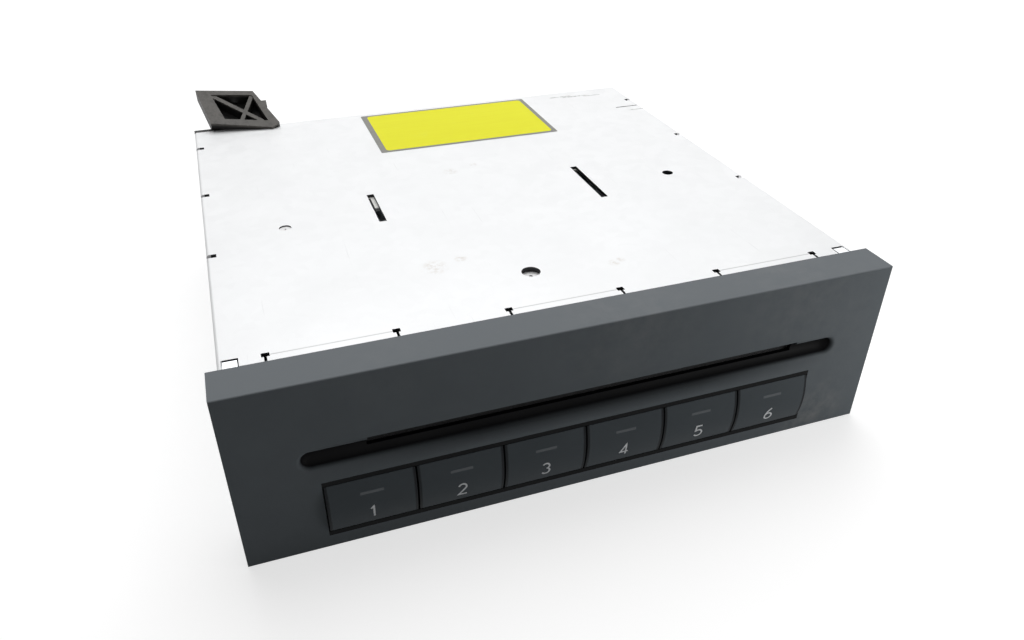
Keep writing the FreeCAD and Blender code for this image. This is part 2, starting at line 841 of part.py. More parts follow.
def button(index):
    centre = button_centre(index)
    half = (button_pitch - s.button_gap) / 2
    low = window_middle - cap_height / 2
    high = window_middle + cap_height / 2
    crown_front = bezel_front - s.button_crown
    radius = (cap_height * cap_height / 4 + s.button_crown * s.button_crown) / (
        2 * s.button_crown)
    flange_front = bezel_front + s.bezel_wall + s.slide_gap
    flange_back = flange_front + s.button_wall
    arch = rod("X", radius, centre - half, centre + half, (crown_front + radius, window_middle))
    shell = common(arch, box(centre - half, centre + half, crown_front, flange_back, low, high))
    wall = s.button_wall
    hollow = box(centre - half + wall, centre + half - wall, bezel_front + wall - s.button_roof_inset,
                 flange_back, low + wall, high - wall)
    flange = box(centre - half, centre + half, flange_front, flange_back,
                 low - s.button_flange, high + s.button_flange)
    half_boss = s.button_boss / 2
    boss = box(centre - half_boss, centre + half_boss, bezel_front,
               stem_front - s.button_travel - s.pin_gap,
               window_middle - half_boss, window_middle + half_boss)
    return node(fuse(cut(fuse(shell, flange), hollow), boss), f"button_{index + 1}")


def button_board():
    half = window_length / 2 + s.button_board_margin
    board = box(-half, half, board_front, board_back, s.bezel_wall + s.slide_gap,
                slot_bottom - s.felt_reach - s.button_board_drop)
    return node(board, "button_board")


def tact_switches():
    switches = []
    half = s.switch_side / 2
    half_stem = s.switch_stem / 2
    for index in range(BUTTONS):
        x = button_centre(index)
        case = box(x - half, x + half, switch_front, board_front,
                   window_middle - half, window_middle + half)
        stem = box(x - half_stem, x + half_stem, stem_front, switch_front,
                   window_middle - half_stem, window_middle + half_stem)
        switches.append(fuse(case, stem))
    return node(group(switches), "tact_switches")


def indicator_leds():
    level = window_middle + s.led_drop
    leds = [box(x - s.led_length / 2, x + s.led_length / 2, board_front - s.led_width, board_front,
                level, level + s.led_height)
            for x in (button_centre(index) for index in range(BUTTONS))]
    return node(group(leds), "indicator_leds")


# Electronics in the bottom of the case

def main_board():
    half = main_board_half
    return node(box(-half, half, main_board_front, main_board_back,
                    main_board_low, main_board_top), "main_board")


# places of the chips on the board: chip widths from the socket, millimetres from the front
CHIP_PLACES = ((0, 40), (3, 70), (4, 20))


def board_chips():
    top = main_board_top
    side = s.chip_side
    chips = []
    for widths, reach in CHIP_PLACES:
        x = s.socket_place + side * widths
        y = main_board_front + reach
        chips.append(box(x, x + side, y, y + side, top, top + s.chip_height))
    return node(group(chips), "board_chips")


def main_socket():
    low = main_board_top
    high = low + s.socket_height
    left = s.socket_place - s.socket_width / 2
    right = s.socket_place + s.socket_width / 2
    back = case_back + s.socket_proud
    front = back - s.socket_depth
    wall = s.socket_wall
    shell = box(left, right, front, back, low, high)
    mouth = box(left + wall, right - wall, front + wall, back, low + wall, high - wall)
    return node(cut(shell, mouth), "main_socket")


SOCKET_ROWS = 2
SOCKET_COLUMNS = 8


def socket_pins():
    level = main_board_top + s.socket_height / 2
    floor = case_back + s.socket_proud - s.socket_depth + s.socket_wall
    half = s.socket_pin_side / 2
    pins = []
    for row in range(SOCKET_ROWS):
        z = level + s.socket_pin_pitch * (row - (SOCKET_ROWS - 1) / 2)
        for column in range(SOCKET_COLUMNS):
            x = s.socket_place + s.socket_pin_pitch * (column - (SOCKET_COLUMNS - 1) / 2)
            pins.append(box(x - half, x + half, floor, floor + s.socket_pin_length,
                            z - half, z + half))
    return node(group(pins), "socket_pins")


# Tooth form of all gears, in shares of the module
TOOTH_TOP = 0.8
TOOTH_ROOT = 1.1
TOOTH_REACH = 1.25
BACKLASH = 0.16
FLANK_STEPS = 1
PRESSURE = math.radians(20)
RACK_SPARE = 1

# Frame of the disc mechanism, carried on rubber dampers

SHELVES = 6
lift_travel = s.shelf_pitch * (SHELVES - 1)
cam_travel = lift_travel * s.cam_run
pin_level = disc_level
carriage_half = frame_half - s.frame_gauge * 2 - s.carriage_gap
carriage_front = case_front + s.carriage_front_gap
carriage_back = case_back - s.carriage_back_gap
socket_top = main_board_top + s.socket_height
carriage_low = deck_top + lift_travel + s.slide_gap
carriage_high = disc_under + lift_travel + s.carriage_above
shelf_half = carriage_half - s.shelf_margin
shelf_back = carriage_back - s.shelf_back_gap
shelf_cut_back = shelf_back - s.shelf_web
shelf_cut_half = s.traverse_half_width + s.slide_gap + s.bracket_gauge + s.shelf_clearance
lift_pin_front = carriage_front + s.lift_pin_inset
lift_pin_back = lift_pin_front + s.lift_pin_pitch
pin_backs = (lift_pin_front, lift_pin_back)
way = s.lift_pin_radius + s.guide_gap
shaft_way = s.roller_shaft_radius + s.pin_gap
cam_left_in = frame_left - s.slide_gap
cam_left_out = cam_left_in - s.cam_gauge
cam_right_in = frame_right + s.slide_gap
cam_right_out = cam_right_in + s.cam_gauge
cam_low = pin_level - lift_travel - s.cam_margin
cam_high = pin_level + s.cam_margin

# loading drive: roller gear, idler and motor pinion in the left bay
roller_back = case_front + s.roller_inset
roller_level = disc_under - s.roller_radius
idler_reach = (s.roller_teeth + s.idler_teeth) * s.load_module / 2
idler_back = roller_back + idler_reach * cosine(s.idler_angle)
idler_level = roller_level + idler_reach * sine(s.idler_angle)
load_reach = (s.idler_teeth + s.pinion_teeth) * s.load_module / 2
load_motor_back = idler_back + load_reach * cosine(s.load_motor_angle)
load_motor_level = idler_level + load_reach * sine(s.load_motor_angle)
load_gear_right = cam_left_out - s.slide_gap
load_gear_left = load_gear_right - s.gear_width
load_plate_right = load_gear_left - s.slide_gap
load_plate_left = load_plate_right - s.bracket_gauge

# lift drive: rack on the right cam plate, double gear and motor pinion in the right bay
rack_line = cam_high + s.rack_module * TOOTH_REACH
lift_pinion_radius = s.lift_pinion_teeth * s.rack_module / 2
lift_pinion_back = lift_pin_front + s.lift_pinion_inset
lift_axle_level = rack_line + lift_pinion_radius
lift_gear_left = cam_right_out + s.slide_gap
lift_gear_right = lift_gear_left + s.lift_gear_width
lift_plate_left = lift_gear_right + s.slide_gap
lift_plate_right = lift_plate_left + s.bracket_gauge
lift_reach = (s.lift_gear_teeth + s.pinion_teeth) * s.load_module / 2
lift_motor_back = lift_pinion_back + lift_reach * cosine(s.lift_motor_angle)
lift_motor_level = lift_axle_level + lift_reach * sine(s.lift_motor_angle)
load_plate_front = idler_back - s.plate_axle_margin
load_plate_back = load_motor_back + s.plate_motor_margin
lift_plate_front = lift_pinion_back - s.plate_axle_margin
lift_plate_back = lift_motor_back + s.plate_motor_margin
damper_corners = [(x, y) for x in (middle - damper_x, middle + damper_x)
                  for y in (-damper_y, damper_y)]


def mechanism_frame():
    frame = Sketched("Frame")
    left_in = frame_left + s.frame_gauge
    right_in = frame_right - s.frame_gauge
    frame.slab("XY", deck_low, deck_top,
               rectangle(frame_left, frame_right, frame_front, deck_back))
    frame.slab("XY", deck_low, frame_top,
               rectangle(frame_left, left_in, frame_front, frame_back),
               rectangle(right_in, frame_right, frame_front, frame_back))
    # ears that carry the two gear plates
    ear = s.plate_ear_margin
    frame.slab("XY", deck_low, deck_top,
               rectangle(load_plate_left, frame_left, load_plate_front - ear,
                         load_plate_back + ear),
               rectangle(frame_right, lift_plate_right, lift_plate_front - ear,
                         lift_plate_back + ear))
    for low, high in ((frame_left, left_in), (right_in, frame_right)):
        ways = [rectangle(back - way, back + way, pin_level - lift_travel - way, pin_level + way)
                for back in pin_backs]
        frame.pocket("YZ", low, high, *ways, square(roller_back, roller_level, shaft_way))
    frame.pocket("XY", deck_low, deck_top, *[square(x, y, s.damper_pin_radius + s.pin_gap)
                                             for x, y in damper_corners])
    # stub axles of the idler and the lift gear
    axles = [rod("X", s.axle_radius, load_plate_right, frame_left, (idler_back, idler_level)),
             rod("X", s.axle_radius, frame_right, lift_plate_left,
                 (lift_pinion_back, lift_axle_level))]
    return node(fuse(frame.body, *axles), "mechanism_frame")


def damper_grommets():
    half = s.damper_half_width
    grommets = [box(x - half, x + half, y - half, y + half, gauge, deck_low)
                for x, y in damper_corners]
    return node(group(grommets), "damper_grommets")


def damper_studs():
    """Square-necked studs with six-sided heads that hold the deck down on its dampers."""
    half = s.damper_pin_radius
    studs = [fuse(box(x - half, x + half, y - half, y + half, deck_low, deck_top),
                  six_sided("Z", s.damper_pin_radius * 2, deck_top, deck_top + s.damper_head,
                            (x, y)))
             for x, y in damper_corners]
    return node(group(studs), "damper_studs")


def gear_plate(left, right, front, back, top, shaft_back, shaft_level, name):
    plate = Sketched("GearPlate")
    plate.slab("YZ", left, right, rectangle(front, back, deck_top, top))
    plate.pocket("YZ", left, right,
                 circle(shaft_back, shaft_level, s.motor_shaft_radius + s.pin_gap))
    return node(plate.body, name)


def load_motor_plate():
    return gear_plate(load_plate_left, load_plate_right, load_plate_front, load_plate_back,
                      idler_level + s.plate_axle_rise, load_motor_back, load_motor_level,
                      "load_motor_plate")


def lift_motor_plate():
    return gear_plate(lift_plate_left, lift_plate_right, lift_plate_front, lift_plate_back,
                      lift_axle_level + s.plate_axle_rise, lift_motor_back, lift_motor_level,
                      "lift_motor_plate")


def motor(face, end, back, level, name):
    """A flat can motor that lies against its plate."""
    return node(rod("X", s.motor_radius, *ordered(face, end), (back, level)), name)


def ordered(first, second):
    return sorted((first, second), key=lambda length: length.value)


# Gears: involute flanks on a shared tooth form, in the YZ plane about the X axis

def involute(angle):
    return math.tan(angle) - angle


def tooth_outline(module, teeth, phase):
    """Points of a spur gear with one tooth centred on the phase angle."""
    pitch = module * teeth / 2
    base = pitch * math.cos(PRESSURE)
    tip = pitch + TOOTH_TOP * module
    floor = pitch - TOOTH_ROOT * module
    half_tooth = (math.pi / 2 - BACKLASH) / teeth

    def half_angle(radius):
        if radius <= base:
            return half_tooth + involute(PRESSURE)
        return half_tooth + involute(PRESSURE) - involute(math.acos(base / radius))

    start = max(base, floor)
    radii = [start + (tip - start) * step / FLANK_STEPS for step in range(FLANK_STEPS + 1)]
    points = []
    for tooth in range(teeth):
        centre = phase + 2 * math.pi * tooth / teeth
        points += [(radius, centre - half_angle(radius)) for radius in (floor, *radii[1:])]
        points += [(radius, centre + half_angle(radius)) for radius in (*radii[:0:-1], floor)]
    return [(radius * math.cos(angle), radius * math.sin(angle)) for radius, angle in points]


def gear_solid(module, teeth, phase, left, right, back, level, bore):
    """A gear as a Python shape; it reads its sizes from the sheet through the lengths."""
    flat = tooth_outline(module.value, round(teeth.value), phase)
    corners = [FreeCAD.Vector(left.value, back.value + y, level.value + z) for y, z in flat]
    face = Part.Face(Part.makePolygon(corners + corners[:1]))
    solid = face.extrude(FreeCAD.Vector((right - left).value, 0, 0))
    if bore is not None:
        centre = FreeCAD.Vector(left.value, back.value, level.value)
        solid = solid.cut(Part.makeCylinder(bore.value, (right - left).value, centre,
                                            FreeCAD.Vector(1, 0, 0)))
    return solid


def feature(shape, name):
    piece = doc.addObject("Part::Feature", name)
    piece.Shape = shape
    piece.Placement = FreeCAD.Placement()
    return piece


def mating_phase(teeth_a, phase_a, direction, teeth_b):
    """The phase that puts a gap of gear b on each tooth of gear a."""
    pitch_a = 2 * math.pi / teeth_a
    pitch_b = 2 * math.pi / teeth_b
    ahead = ((direction - phase_a) / pitch_a) % 1
    return direction + math.pi - pitch_b * (0.5 - ahead)


idler_direction = math.radians(s.idler_angle.value)
load_direction = math.radians(s.load_motor_angle.value)
lift_direction = math.radians(s.lift_motor_angle.value)
idler_phase = mating_phase(s.roller_teeth.value, 0.0, idler_direction, s.idler_teeth.value)
load_phase = mating_phase(s.idler_teeth.value, idler_phase, load_direction, s.pinion_teeth.value)
lift_phase = mating_phase(s.lift_gear_teeth.value, 0.0, lift_direction, s.pinion_teeth.value)


def roller_gear():
    solid = gear_solid(s.load_module, s.roller_teeth, 0.0, load_gear_left, load_gear_right,
                       roller_back, roller_level, None)
    return node(feature(solid, "RollerGear"), "roller_gear")


def loading_idler():
    solid = gear_solid(s.load_module, s.idler_teeth, idler_phase, load_gear_left,
                       load_gear_right, idler_back, idler_level, s.axle_radius + s.pin_gap)
    return node(feature(solid, "Idler"), "loading_idler")


def motor_pinion(phase, left, right, back, level, shaft_end, name):
    teeth = gear_solid(s.load_module, s.pinion_teeth, phase, left, right, back, level, None)
    shaft = rod("X", s.motor_shaft_radius, *ordered(left, shaft_end), (back, level))
    return node(fuse(feature(teeth, name + "_teeth"), shaft), name)


def lift_gear():
    wheel = gear_solid(s.load_module, s.lift_gear_teeth, 0.0, lift_gear_left, lift_gear_right,
                       lift_pinion_back, lift_axle_level, s.axle_radius + s.pin_gap)
    pinion = gear_solid(s.rack_module, s.lift_pinion_teeth, -math.pi / 2, cam_right_in,
                        lift_gear_left, lift_pinion_back, lift_axle_level,
                        s.axle_radius + s.pin_gap)
    return node(feature(wheel.fuse(pinion), "LiftGear"), "lift_gear")


# Feed roller

def roller_shaft():
    return node(rod("X", s.roller_shaft_radius, load_gear_right, frame_right + s.slide_gap,
                    (roller_back, roller_level)), "roller_shaft")


def roller_sleeves():
    sleeves = []
    for sign in (-1, 1):
        near = middle + sign * s.sleeve_gap / 2
        far = near + sign * s.sleeve_length
        sleeve = rod("X", s.roller_radius - s.skirt_gap, *ordered(near, far),
                     (roller_back, roller_level))
        bore = rod("X", s.roller_shaft_radius, *ordered(near, far),
                   (roller_back, roller_level))
        sleeves.append(cut(sleeve, bore))
    return node(group(sleeves), "roller_sleeves")


# Elevator

def elevator_carriage():
    half = carriage_half
    walls = []
    for sign in (-1, 1):
        inner = middle + sign * half
        outer = inner + sign * s.frame_gauge
        wall = box(*ordered(inner, outer), carriage_front, carriage_back,
                   carriage_low, carriage_high)
        pin_end = cam_left_out - s.slide_gap if sign < 0 else cam_right_out + s.slide_gap / 2
        pins = [rod("X", s.lift_pin_radius, *ordered(inner, pin_end), (back, pin_level))
                for back in pin_backs]
        walls.append(fuse(wall, *pins))
    rear = box(middle - half, middle + half, carriage_back - s.frame_gauge, carriage_back,
               socket_top + lift_travel + s.slide_gap, carriage_high)
    return node(fuse(*walls, rear), "elevator_carriage")


def disc_shelf(index):
    """Shelves are counted from the top; at rest the lowest is level with the slot."""
    top = disc_under + s.shelf_pitch * (SHELVES - 1 - index)
    half = shelf_half
    arm = shelf_cut_half
    front = carriage_front
    back = shelf_back
    mouth = s.shelf_mouth
    corner = s.shelf_corner
    shelf = Sketched("Shelf")
    shelf.slab("XY", top - s.shelf_gauge, top, outline(
        (middle - half, front), (middle - arm - mouth, front), (middle - arm, front + mouth),
        (middle - arm, shelf_cut_back - corner), (middle - arm + corner, shelf_cut_back),
        (middle + arm - corner, shelf_cut_back), (middle + arm, shelf_cut_back - corner),
        (middle + arm, front + mouth), (middle + arm + mouth, front), (middle + half, front),
        (middle + half, back), (middle - half, back)))
    tabs = []
    for sign in (-1, 1):
        edges = ordered(middle + sign * half, middle + sign * carriage_half)
        for start in (front + s.shelf_tab_inset,
                      back - s.shelf_tab_inset - s.shelf_tab_length):
            tabs.append(rectangle(*edges, start, start + s.shelf_tab_length))
    shelf.slab("XY", top - s.shelf_gauge, top, *tabs)
    return node(shelf.body, f"disc_shelf_{index + 1}")


def cam_plate(left, right, name):
    plate = Sketched("CamPlate")
    front = lift_pin_front - cam_travel - s.cam_margin
    back = lift_pin_back + s.cam_margin * 1.5
    plate.slab("YZ", left, right, rectangle(front, back, cam_low, cam_high))
    slots = [strip((pin - cam_travel, pin_level - lift_travel), (pin, pin_level), way, way)
             for pin in pin_backs]
    plate.pocket("YZ", left, right, *slots)
    # a three-sided window over each slope
    windows = []
    for pin in pin_backs:
        edge = pin - cam_travel + s.cam_window_inset
        high = pin_level - s.cam_window_inset
        windows.append(outline((pin - cam_travel * s.cam_window_share, high), (edge, high),
                               (edge, pin_level - lift_travel + s.cam_window_rise)))
    plate.pocket("YZ", left, right, *windows)
    return plate.body


def rack_teeth():
    """Rack along the top of the right cam plate, in mesh with the lift pinion at rest."""
    module = s.rack_module.value
    pitch = math.pi * module
    line = rack_line.value
    half = pitch / 4 - BACKLASH * module / 2
    flank = math.tan(PRESSURE)
    low = cam_high.value
    high = line + TOOTH_TOP * module
    middle_back = lift_pinion_back.value
    count = math.ceil(cam_travel.value / pitch) + RACK_SPARE
    solids = []
    for tooth in range(-RACK_SPARE, count):
        centre = middle_back + pitch / 2 - pitch * tooth
        wide = half + (line - low) * flank
        narrow = half - (high - line) * flank
        corners = [(centre - wide, low), (centre + wide, low), (centre + narrow, high),
                   (centre - narrow, high)]
        points = [FreeCAD.Vector(cam_right_in.value, y, z) for y, z in corners]
        face = Part.Face(Part.makePolygon(points + points[:1]))
        solids.append(face.extrude(FreeCAD.Vector(s.cam_gauge.value, 0, 0)))
    return solids


def cam_plate_left():
    return node(cam_plate(cam_left_out, cam_left_in, "CamLeft"), "cam_plate_left")


def cam_plate_right():
    plate = cam_plate(cam_right_in, cam_right_out, "CamRight")
    teeth = feature(Part.makeCompound(rack_teeth()), "Rack")
    return node(fuse(plate, teeth), "cam_plate_right")


# Playing unit: a base that tilts about its rear pivots and carries motor, rods and pickup

spindle_back = case_front + s.spindle_inset
pivot_back = shelf_cut_back - s.pivot_inset
traverse_front = spindle_back - s.traverse_nose
traverse_back = pivot_back + s.pivot_margin
screw_place = s.traverse_half_width - s.screw_inset
sled_travel = (pivot_back - spindle_back - s.sled_first_radius - s.sled_length / 2
               - s.sled_stop)
plate_top = disc_under - s.traverse_drop
plate_under = plate_top - s.frame_gauge
pivot_level = plate_under - s.pivot_radius
rod_level = plate_under - s.rod_drop
rod_places = (middle - s.rod_left, middle + s.rod_right)
screw_x = middle + screw_place
sled_front = spindle_back + s.sled_first_radius - s.sled_length / 2
sled_end = sled_front + s.sled_length + sled_travel
tab_front = sled_front - s.slide_gap
tab_back = sled_end + s.slide_gap
sled_left = rod_places[0] - s.sled_margin
sled_right = screw_x + s.nut_margin


def pivot_brackets():
    ears = []
    for sign in (-1, 1):
        inner = middle + sign * (s.traverse_half_width + s.slide_gap)
        outer = inner + sign * s.bracket_gauge
        front = pivot_back - s.pivot_ear_half
        back = pivot_back + s.pivot_ear_half
        ear = box(*ordered(inner, outer), front, back, deck_top,
                  pivot_level + s.pivot_ear_half)
        half = s.pivot_radius + s.pin_gap
        hole = box(*ordered(inner, outer), pivot_back - half, pivot_back + half,
                   pivot_level - half, pivot_level + half)
        foot = box(*ordered(outer, inner - sign * s.pivot_foot), front, back,
                   deck_top, deck_top + s.bracket_gauge)
        ears.append(cut(fuse(ear, foot), hole))
    return node(group(ears), "pivot_brackets")


def traverse_base():
    base = Sketched("TraverseBase")
    half = s.traverse_half_width
    front = traverse_front
    back = traverse_back
    nose = half - s.traverse_corner
    shoulder = front + s.traverse_corner
    base.slab("XY", plate_under, plate_top, outline(
        (middle - nose, front), (middle + nose, front), (middle + half, shoulder),
        (middle + half, back), (middle - half, back), (middle - half, shoulder)))
    for sign in (-1, 1):
        edge = middle + sign * half
        flange = ordered(edge, edge - sign * s.frame_gauge)
        base.slab("XY", pivot_level - s.traverse_flange_drop, plate_under,
                  rectangle(*flange, pivot_back - s.pivot_ear_half, back))
    for low, high in ((tab_front - s.frame_gauge, tab_front),
                      (tab_back, tab_back + s.frame_gauge)):
        base.slab("XY", rod_level - s.tab_drop, plate_under,
                  rectangle(rod_places[0] - s.tab_margin, screw_x + s.tab_margin, low, high))
    window = rectangle(middle - s.sled_window_half, middle + s.sled_window_half,
                       tab_front, tab_back)
    motor_half = s.sled_motor_radius + s.slide_gap
    motor_way = rectangle(screw_x - motor_half, screw_x + motor_half,
                          tab_front - s.frame_gauge - s.sled_motor_length - s.slide_gap,
                          tab_front - s.frame_gauge)
    base.pocket("XY", plate_under, plate_top, window, motor_way)
    for low, high in ((tab_front - s.frame_gauge, tab_front),
                      (tab_back, tab_back + s.frame_gauge)):
        seats = [(x, s.rod_radius) for x in rod_places] + [(screw_x, s.screw_radius + s.pin_gap)]
        notches = [rectangle(x - half_way, x + half_way, rod_level - s.tab_drop,
                             rod_level + half_way) for x, half_way in seats]
        base.pocket("XZ", low, high, *notches)
    base.pocket("XY", plate_under, plate_top,
                circle(middle, spindle_back, s.spindle_radius + s.guide_gap))
    pins = []
    for sign in (-1, 1):
        edge = middle + sign * (half - s.frame_gauge)
        end = middle + sign * (half + s.slide_gap + s.bracket_gauge + s.pivot_pin_reach)
        pins.append(rod("X", s.pivot_radius, *ordered(edge, end),
                        (pivot_back, pivot_level)))
    return node(fuse(base.body, *pins), "traverse_base")


def spindle_motor():
    return node(rod("Z", s.spindle_motor_radius, plate_under - s.spindle_motor_height,
                    plate_under, (middle, spindle_back)), "spindle_motor")


def turntable():
    shaft = rod("Z", s.spindle_radius, plate_under, disc_under,
                (middle, spindle_back))
    platter = rod("Z", s.platter_radius, disc_under - s.platter_thickness, disc_under,
                  (middle, spindle_back))
    hub = doc.addObject("Part::Cone", "Hub")
    bind(hub, {"Radius1": s.hub_radius, "Radius2": s.hub_radius - s.hub_taper, "Height": s.hub_height,
               "Placement.Base.x": middle, "Placement.Base.y": spindle_back,
               "Placement.Base.z": disc_under})
    return node(fuse(shaft, platter, hub), "turntable")


def guide_rods():
    rods = [rod("Y", s.rod_radius, tab_front - s.frame_gauge, tab_back + s.frame_gauge,
                (x, rod_level)) for x in rod_places]
    return node(group(rods), "guide_rods")


def pickup_sled():
    sled = Sketched("Sled")
    low = rod_level - s.sled_thickness / 2
    high = low + s.sled_thickness
    back = sled_front + s.sled_length
    sled.slab("XY", low, high, rectangle(sled_left, sled_right, sled_front, back))
    centre = spindle_back + s.sled_first_radius
    sled.slab("XY", high, disc_under - s.lens_gap - s.lens_thickness, rectangle(
        middle - s.head_half_width, middle + s.head_half_width,
        centre - s.head_half_length, centre + s.head_half_length))
    # a closed guide on the left rod, an open fork on the right one, a half nut on the screw
    fork = s.rod_radius + s.pin_gap
    nut = s.screw_radius + s.pin_gap
    sled.pocket("XZ", sled_front, back, square(rod_places[0], rod_level, fork),
                rectangle(rod_places[1] - fork, rod_places[1] + fork, low, rod_level + fork),
                rectangle(screw_x - nut, screw_x + nut, low, rod_level + nut))
    return node(sled.body, "pickup_sled")


def objective_lens():
    top = disc_under - s.lens_gap
    centre = spindle_back + s.sled_first_radius
    return node(rod("Z", s.lens_radius, top - s.lens_thickness, top, (middle, centre)), "objective_lens")


def sled_screw():
    return node(rod("Y", s.screw_radius, tab_front - s.frame_gauge,
                    tab_back + s.frame_gauge + s.slide_gap, (screw_x, rod_level)), "sled_screw")


def sled_motor():
    back = tab_front - s.frame_gauge
    return node(rod("Y", s.sled_motor_radius, back - s.sled_motor_length, back,
                    (screw_x, rod_level)), "sled_motor")


# Disc guide over the rollers, clamp arm and centring levers

guide_back = frame_front + s.guide_depth
clamp_pivot_back = case_front + s.clamp_pivot_inset
lever_pivot_place = frame_half - s.frame_gauge - s.lever_inset
lever_tip_place = lever_pivot_place - s.lever_tip_side
lever_pivot_back = case_front + s.lever_pivot_inset
lever_tip_back = lever_pivot_back + s.lever_tip_reach
guide_low = disc_level + s.guide_rise
guide_high = guide_low + s.frame_gauge
clamp_level = guide_high + s.clamp_pivot_rise
puck_low = disc_level + s.disc_thickness / 2 + s.guide_gap + s.hub_height


def upper_guide():
    left = frame_left + s.frame_gauge
    right = frame_right - s.frame_gauge
    guide = Sketched("Guide")
    notch = s.guide_notch_half
    depth = s.guide_notch_depth
    notch_front = guide_back - depth
    guide.slab("XY", guide_low, guide_high, outline(
        (left, frame_front), (right, frame_front), (right, guide_back),
        (middle + notch, guide_back), (middle + notch - depth, notch_front),
        (middle - notch + depth, notch_front), (middle - notch, guide_back),
        (left, guide_back)))
    ears = []
    for sign in (-1, 1):
        inner = middle + sign * (s.clamp_arm_half_width + s.slide_gap)
        outer = inner + sign * s.bracket_gauge
        ear = box(*ordered(inner, outer), clamp_pivot_back - s.clamp_ear_half,
                  clamp_pivot_back + s.clamp_ear_half, guide_high,
                  clamp_level + s.clamp_ear_half)
        half = s.clamp_lug + s.guide_gap
        hole = box(*ordered(inner, outer), clamp_pivot_back - half,
                   clamp_pivot_back + half, clamp_level - half, clamp_level + half)
        ears.append(cut(ear, hole))
    pegs = [rod("Z", s.axle_radius, lever_low, guide_low, (x, lever_pivot_back))
            for x in (middle - lever_pivot_place, middle + lever_pivot_place)]
    return node(fuse(guide.body, *ears, *pegs), "upper_guide")


def guide_felt():
    half = slot_length / 2 - s.guide_felt_inset
    low = disc_level + s.disc_thickness / 2 + s.guide_gap
    return node(box(middle - half, middle + half, roller_back - s.guide_felt_width / 2,
                    roller_back + s.guide_felt_width / 2, low, guide_low), "guide_felt")


def clamp_arm():
    arm = Sketched("ClampArm")
    half = s.clamp_arm_half_width
    high = clamp_level + s.clamp_arm_gauge / 2
    low = high - s.clamp_arm_gauge
    tip = spindle_back + s.puck_stem_radius + s.clamp_tip_margin
    front = clamp_pivot_back - s.clamp_ear_half
    shoulder = clamp_pivot_back + s.clamp_shoulder
    narrow = half - s.clamp_rim
    arm.slab("XY", low, high, outline(
        (middle - half, front), (middle + half, front), (middle + half, shoulder),
        (middle + narrow, tip), (middle - narrow, tip), (middle - half, shoulder)))
    arm.pocket("XY", low, high, circle(middle, spindle_back, s.puck_stem_radius + s.pin_gap),
               rectangle(middle - narrow, middle + narrow,
                         clamp_pivot_back + s.clamp_window_start,
                         spindle_back - s.clamp_window_end))
    ends = [box(*ordered(middle + sign * half, middle + sign * (half - s.frame_gauge)),
                front, shoulder, low - s.clamp_flange, low)
            for sign in (-1, 1)]
    # flat lugs in the ears' windows are the arm's hinge
    reach = half + s.slide_gap * 2 + s.bracket_gauge
    lugs = [box(*ordered(middle + sign * (half - s.frame_gauge), middle + sign * reach),
                clamp_pivot_back - s.clamp_lug, clamp_pivot_back + s.clamp_lug,
                clamp_level - s.clamp_lug, clamp_level + s.clamp_lug) for sign in (-1, 1)]
    return node(fuse(arm.body, *ends, *lugs), "clamp_arm")


def clamp_puck():
    place = (middle, spindle_back)
    arm_high = clamp_level + s.clamp_arm_gauge / 2
    disc = rod("Z", s.puck_radius, puck_low, puck_low + s.puck_thickness, place)
    stem = rod("Z", s.puck_stem_radius, puck_low, arm_high + s.slide_gap, place)
    cap = six_sided("Z", s.puck_stem_radius + s.puck_cap_margin, arm_high + s.slide_gap,
                    arm_high + s.slide_gap + s.puck_cap_height, place)
    return node(fuse(disc, stem, cap), "clamp_puck")


lever_high = guide_low - s.slide_gap
lever_low = lever_high - s.lever_gauge


def centring_lever(sign, name):
    lever = Sketched("Lever")
    pivot_x = middle + sign * lever_pivot_place
    tip_x = middle + sign * lever_tip_place
    half = s.lever_radius
    lever.slab("XY", lever_low, lever_high, outline(
        (pivot_x - half, lever_pivot_back), (pivot_x, lever_pivot_back - half),
        (pivot_x + half, lever_pivot_back), (tip_x + half, lever_tip_back),
        (tip_x, lever_tip_back + half), (tip_x - half, lever_tip_back)))
    lever.pocket("XY", lever_low, lever_high,
                 circle(pivot_x, lever_pivot_back, s.axle_radius + s.pin_gap))
    pin = rod("Z", s.lever_pin_radius, disc_under - s.lever_pin_reach, lever_low, (tip_x, lever_tip_back))
    return node(fuse(lever.body, pin), name)


# Rear hold-down bracket: a moulded ramp with crossed ribs, screwed to the rear wall

def between(first, last, share):
    """The point at a share of the way from one plan point to another."""
    return tuple(a + (b - a) * share for a, b in zip(first, last))


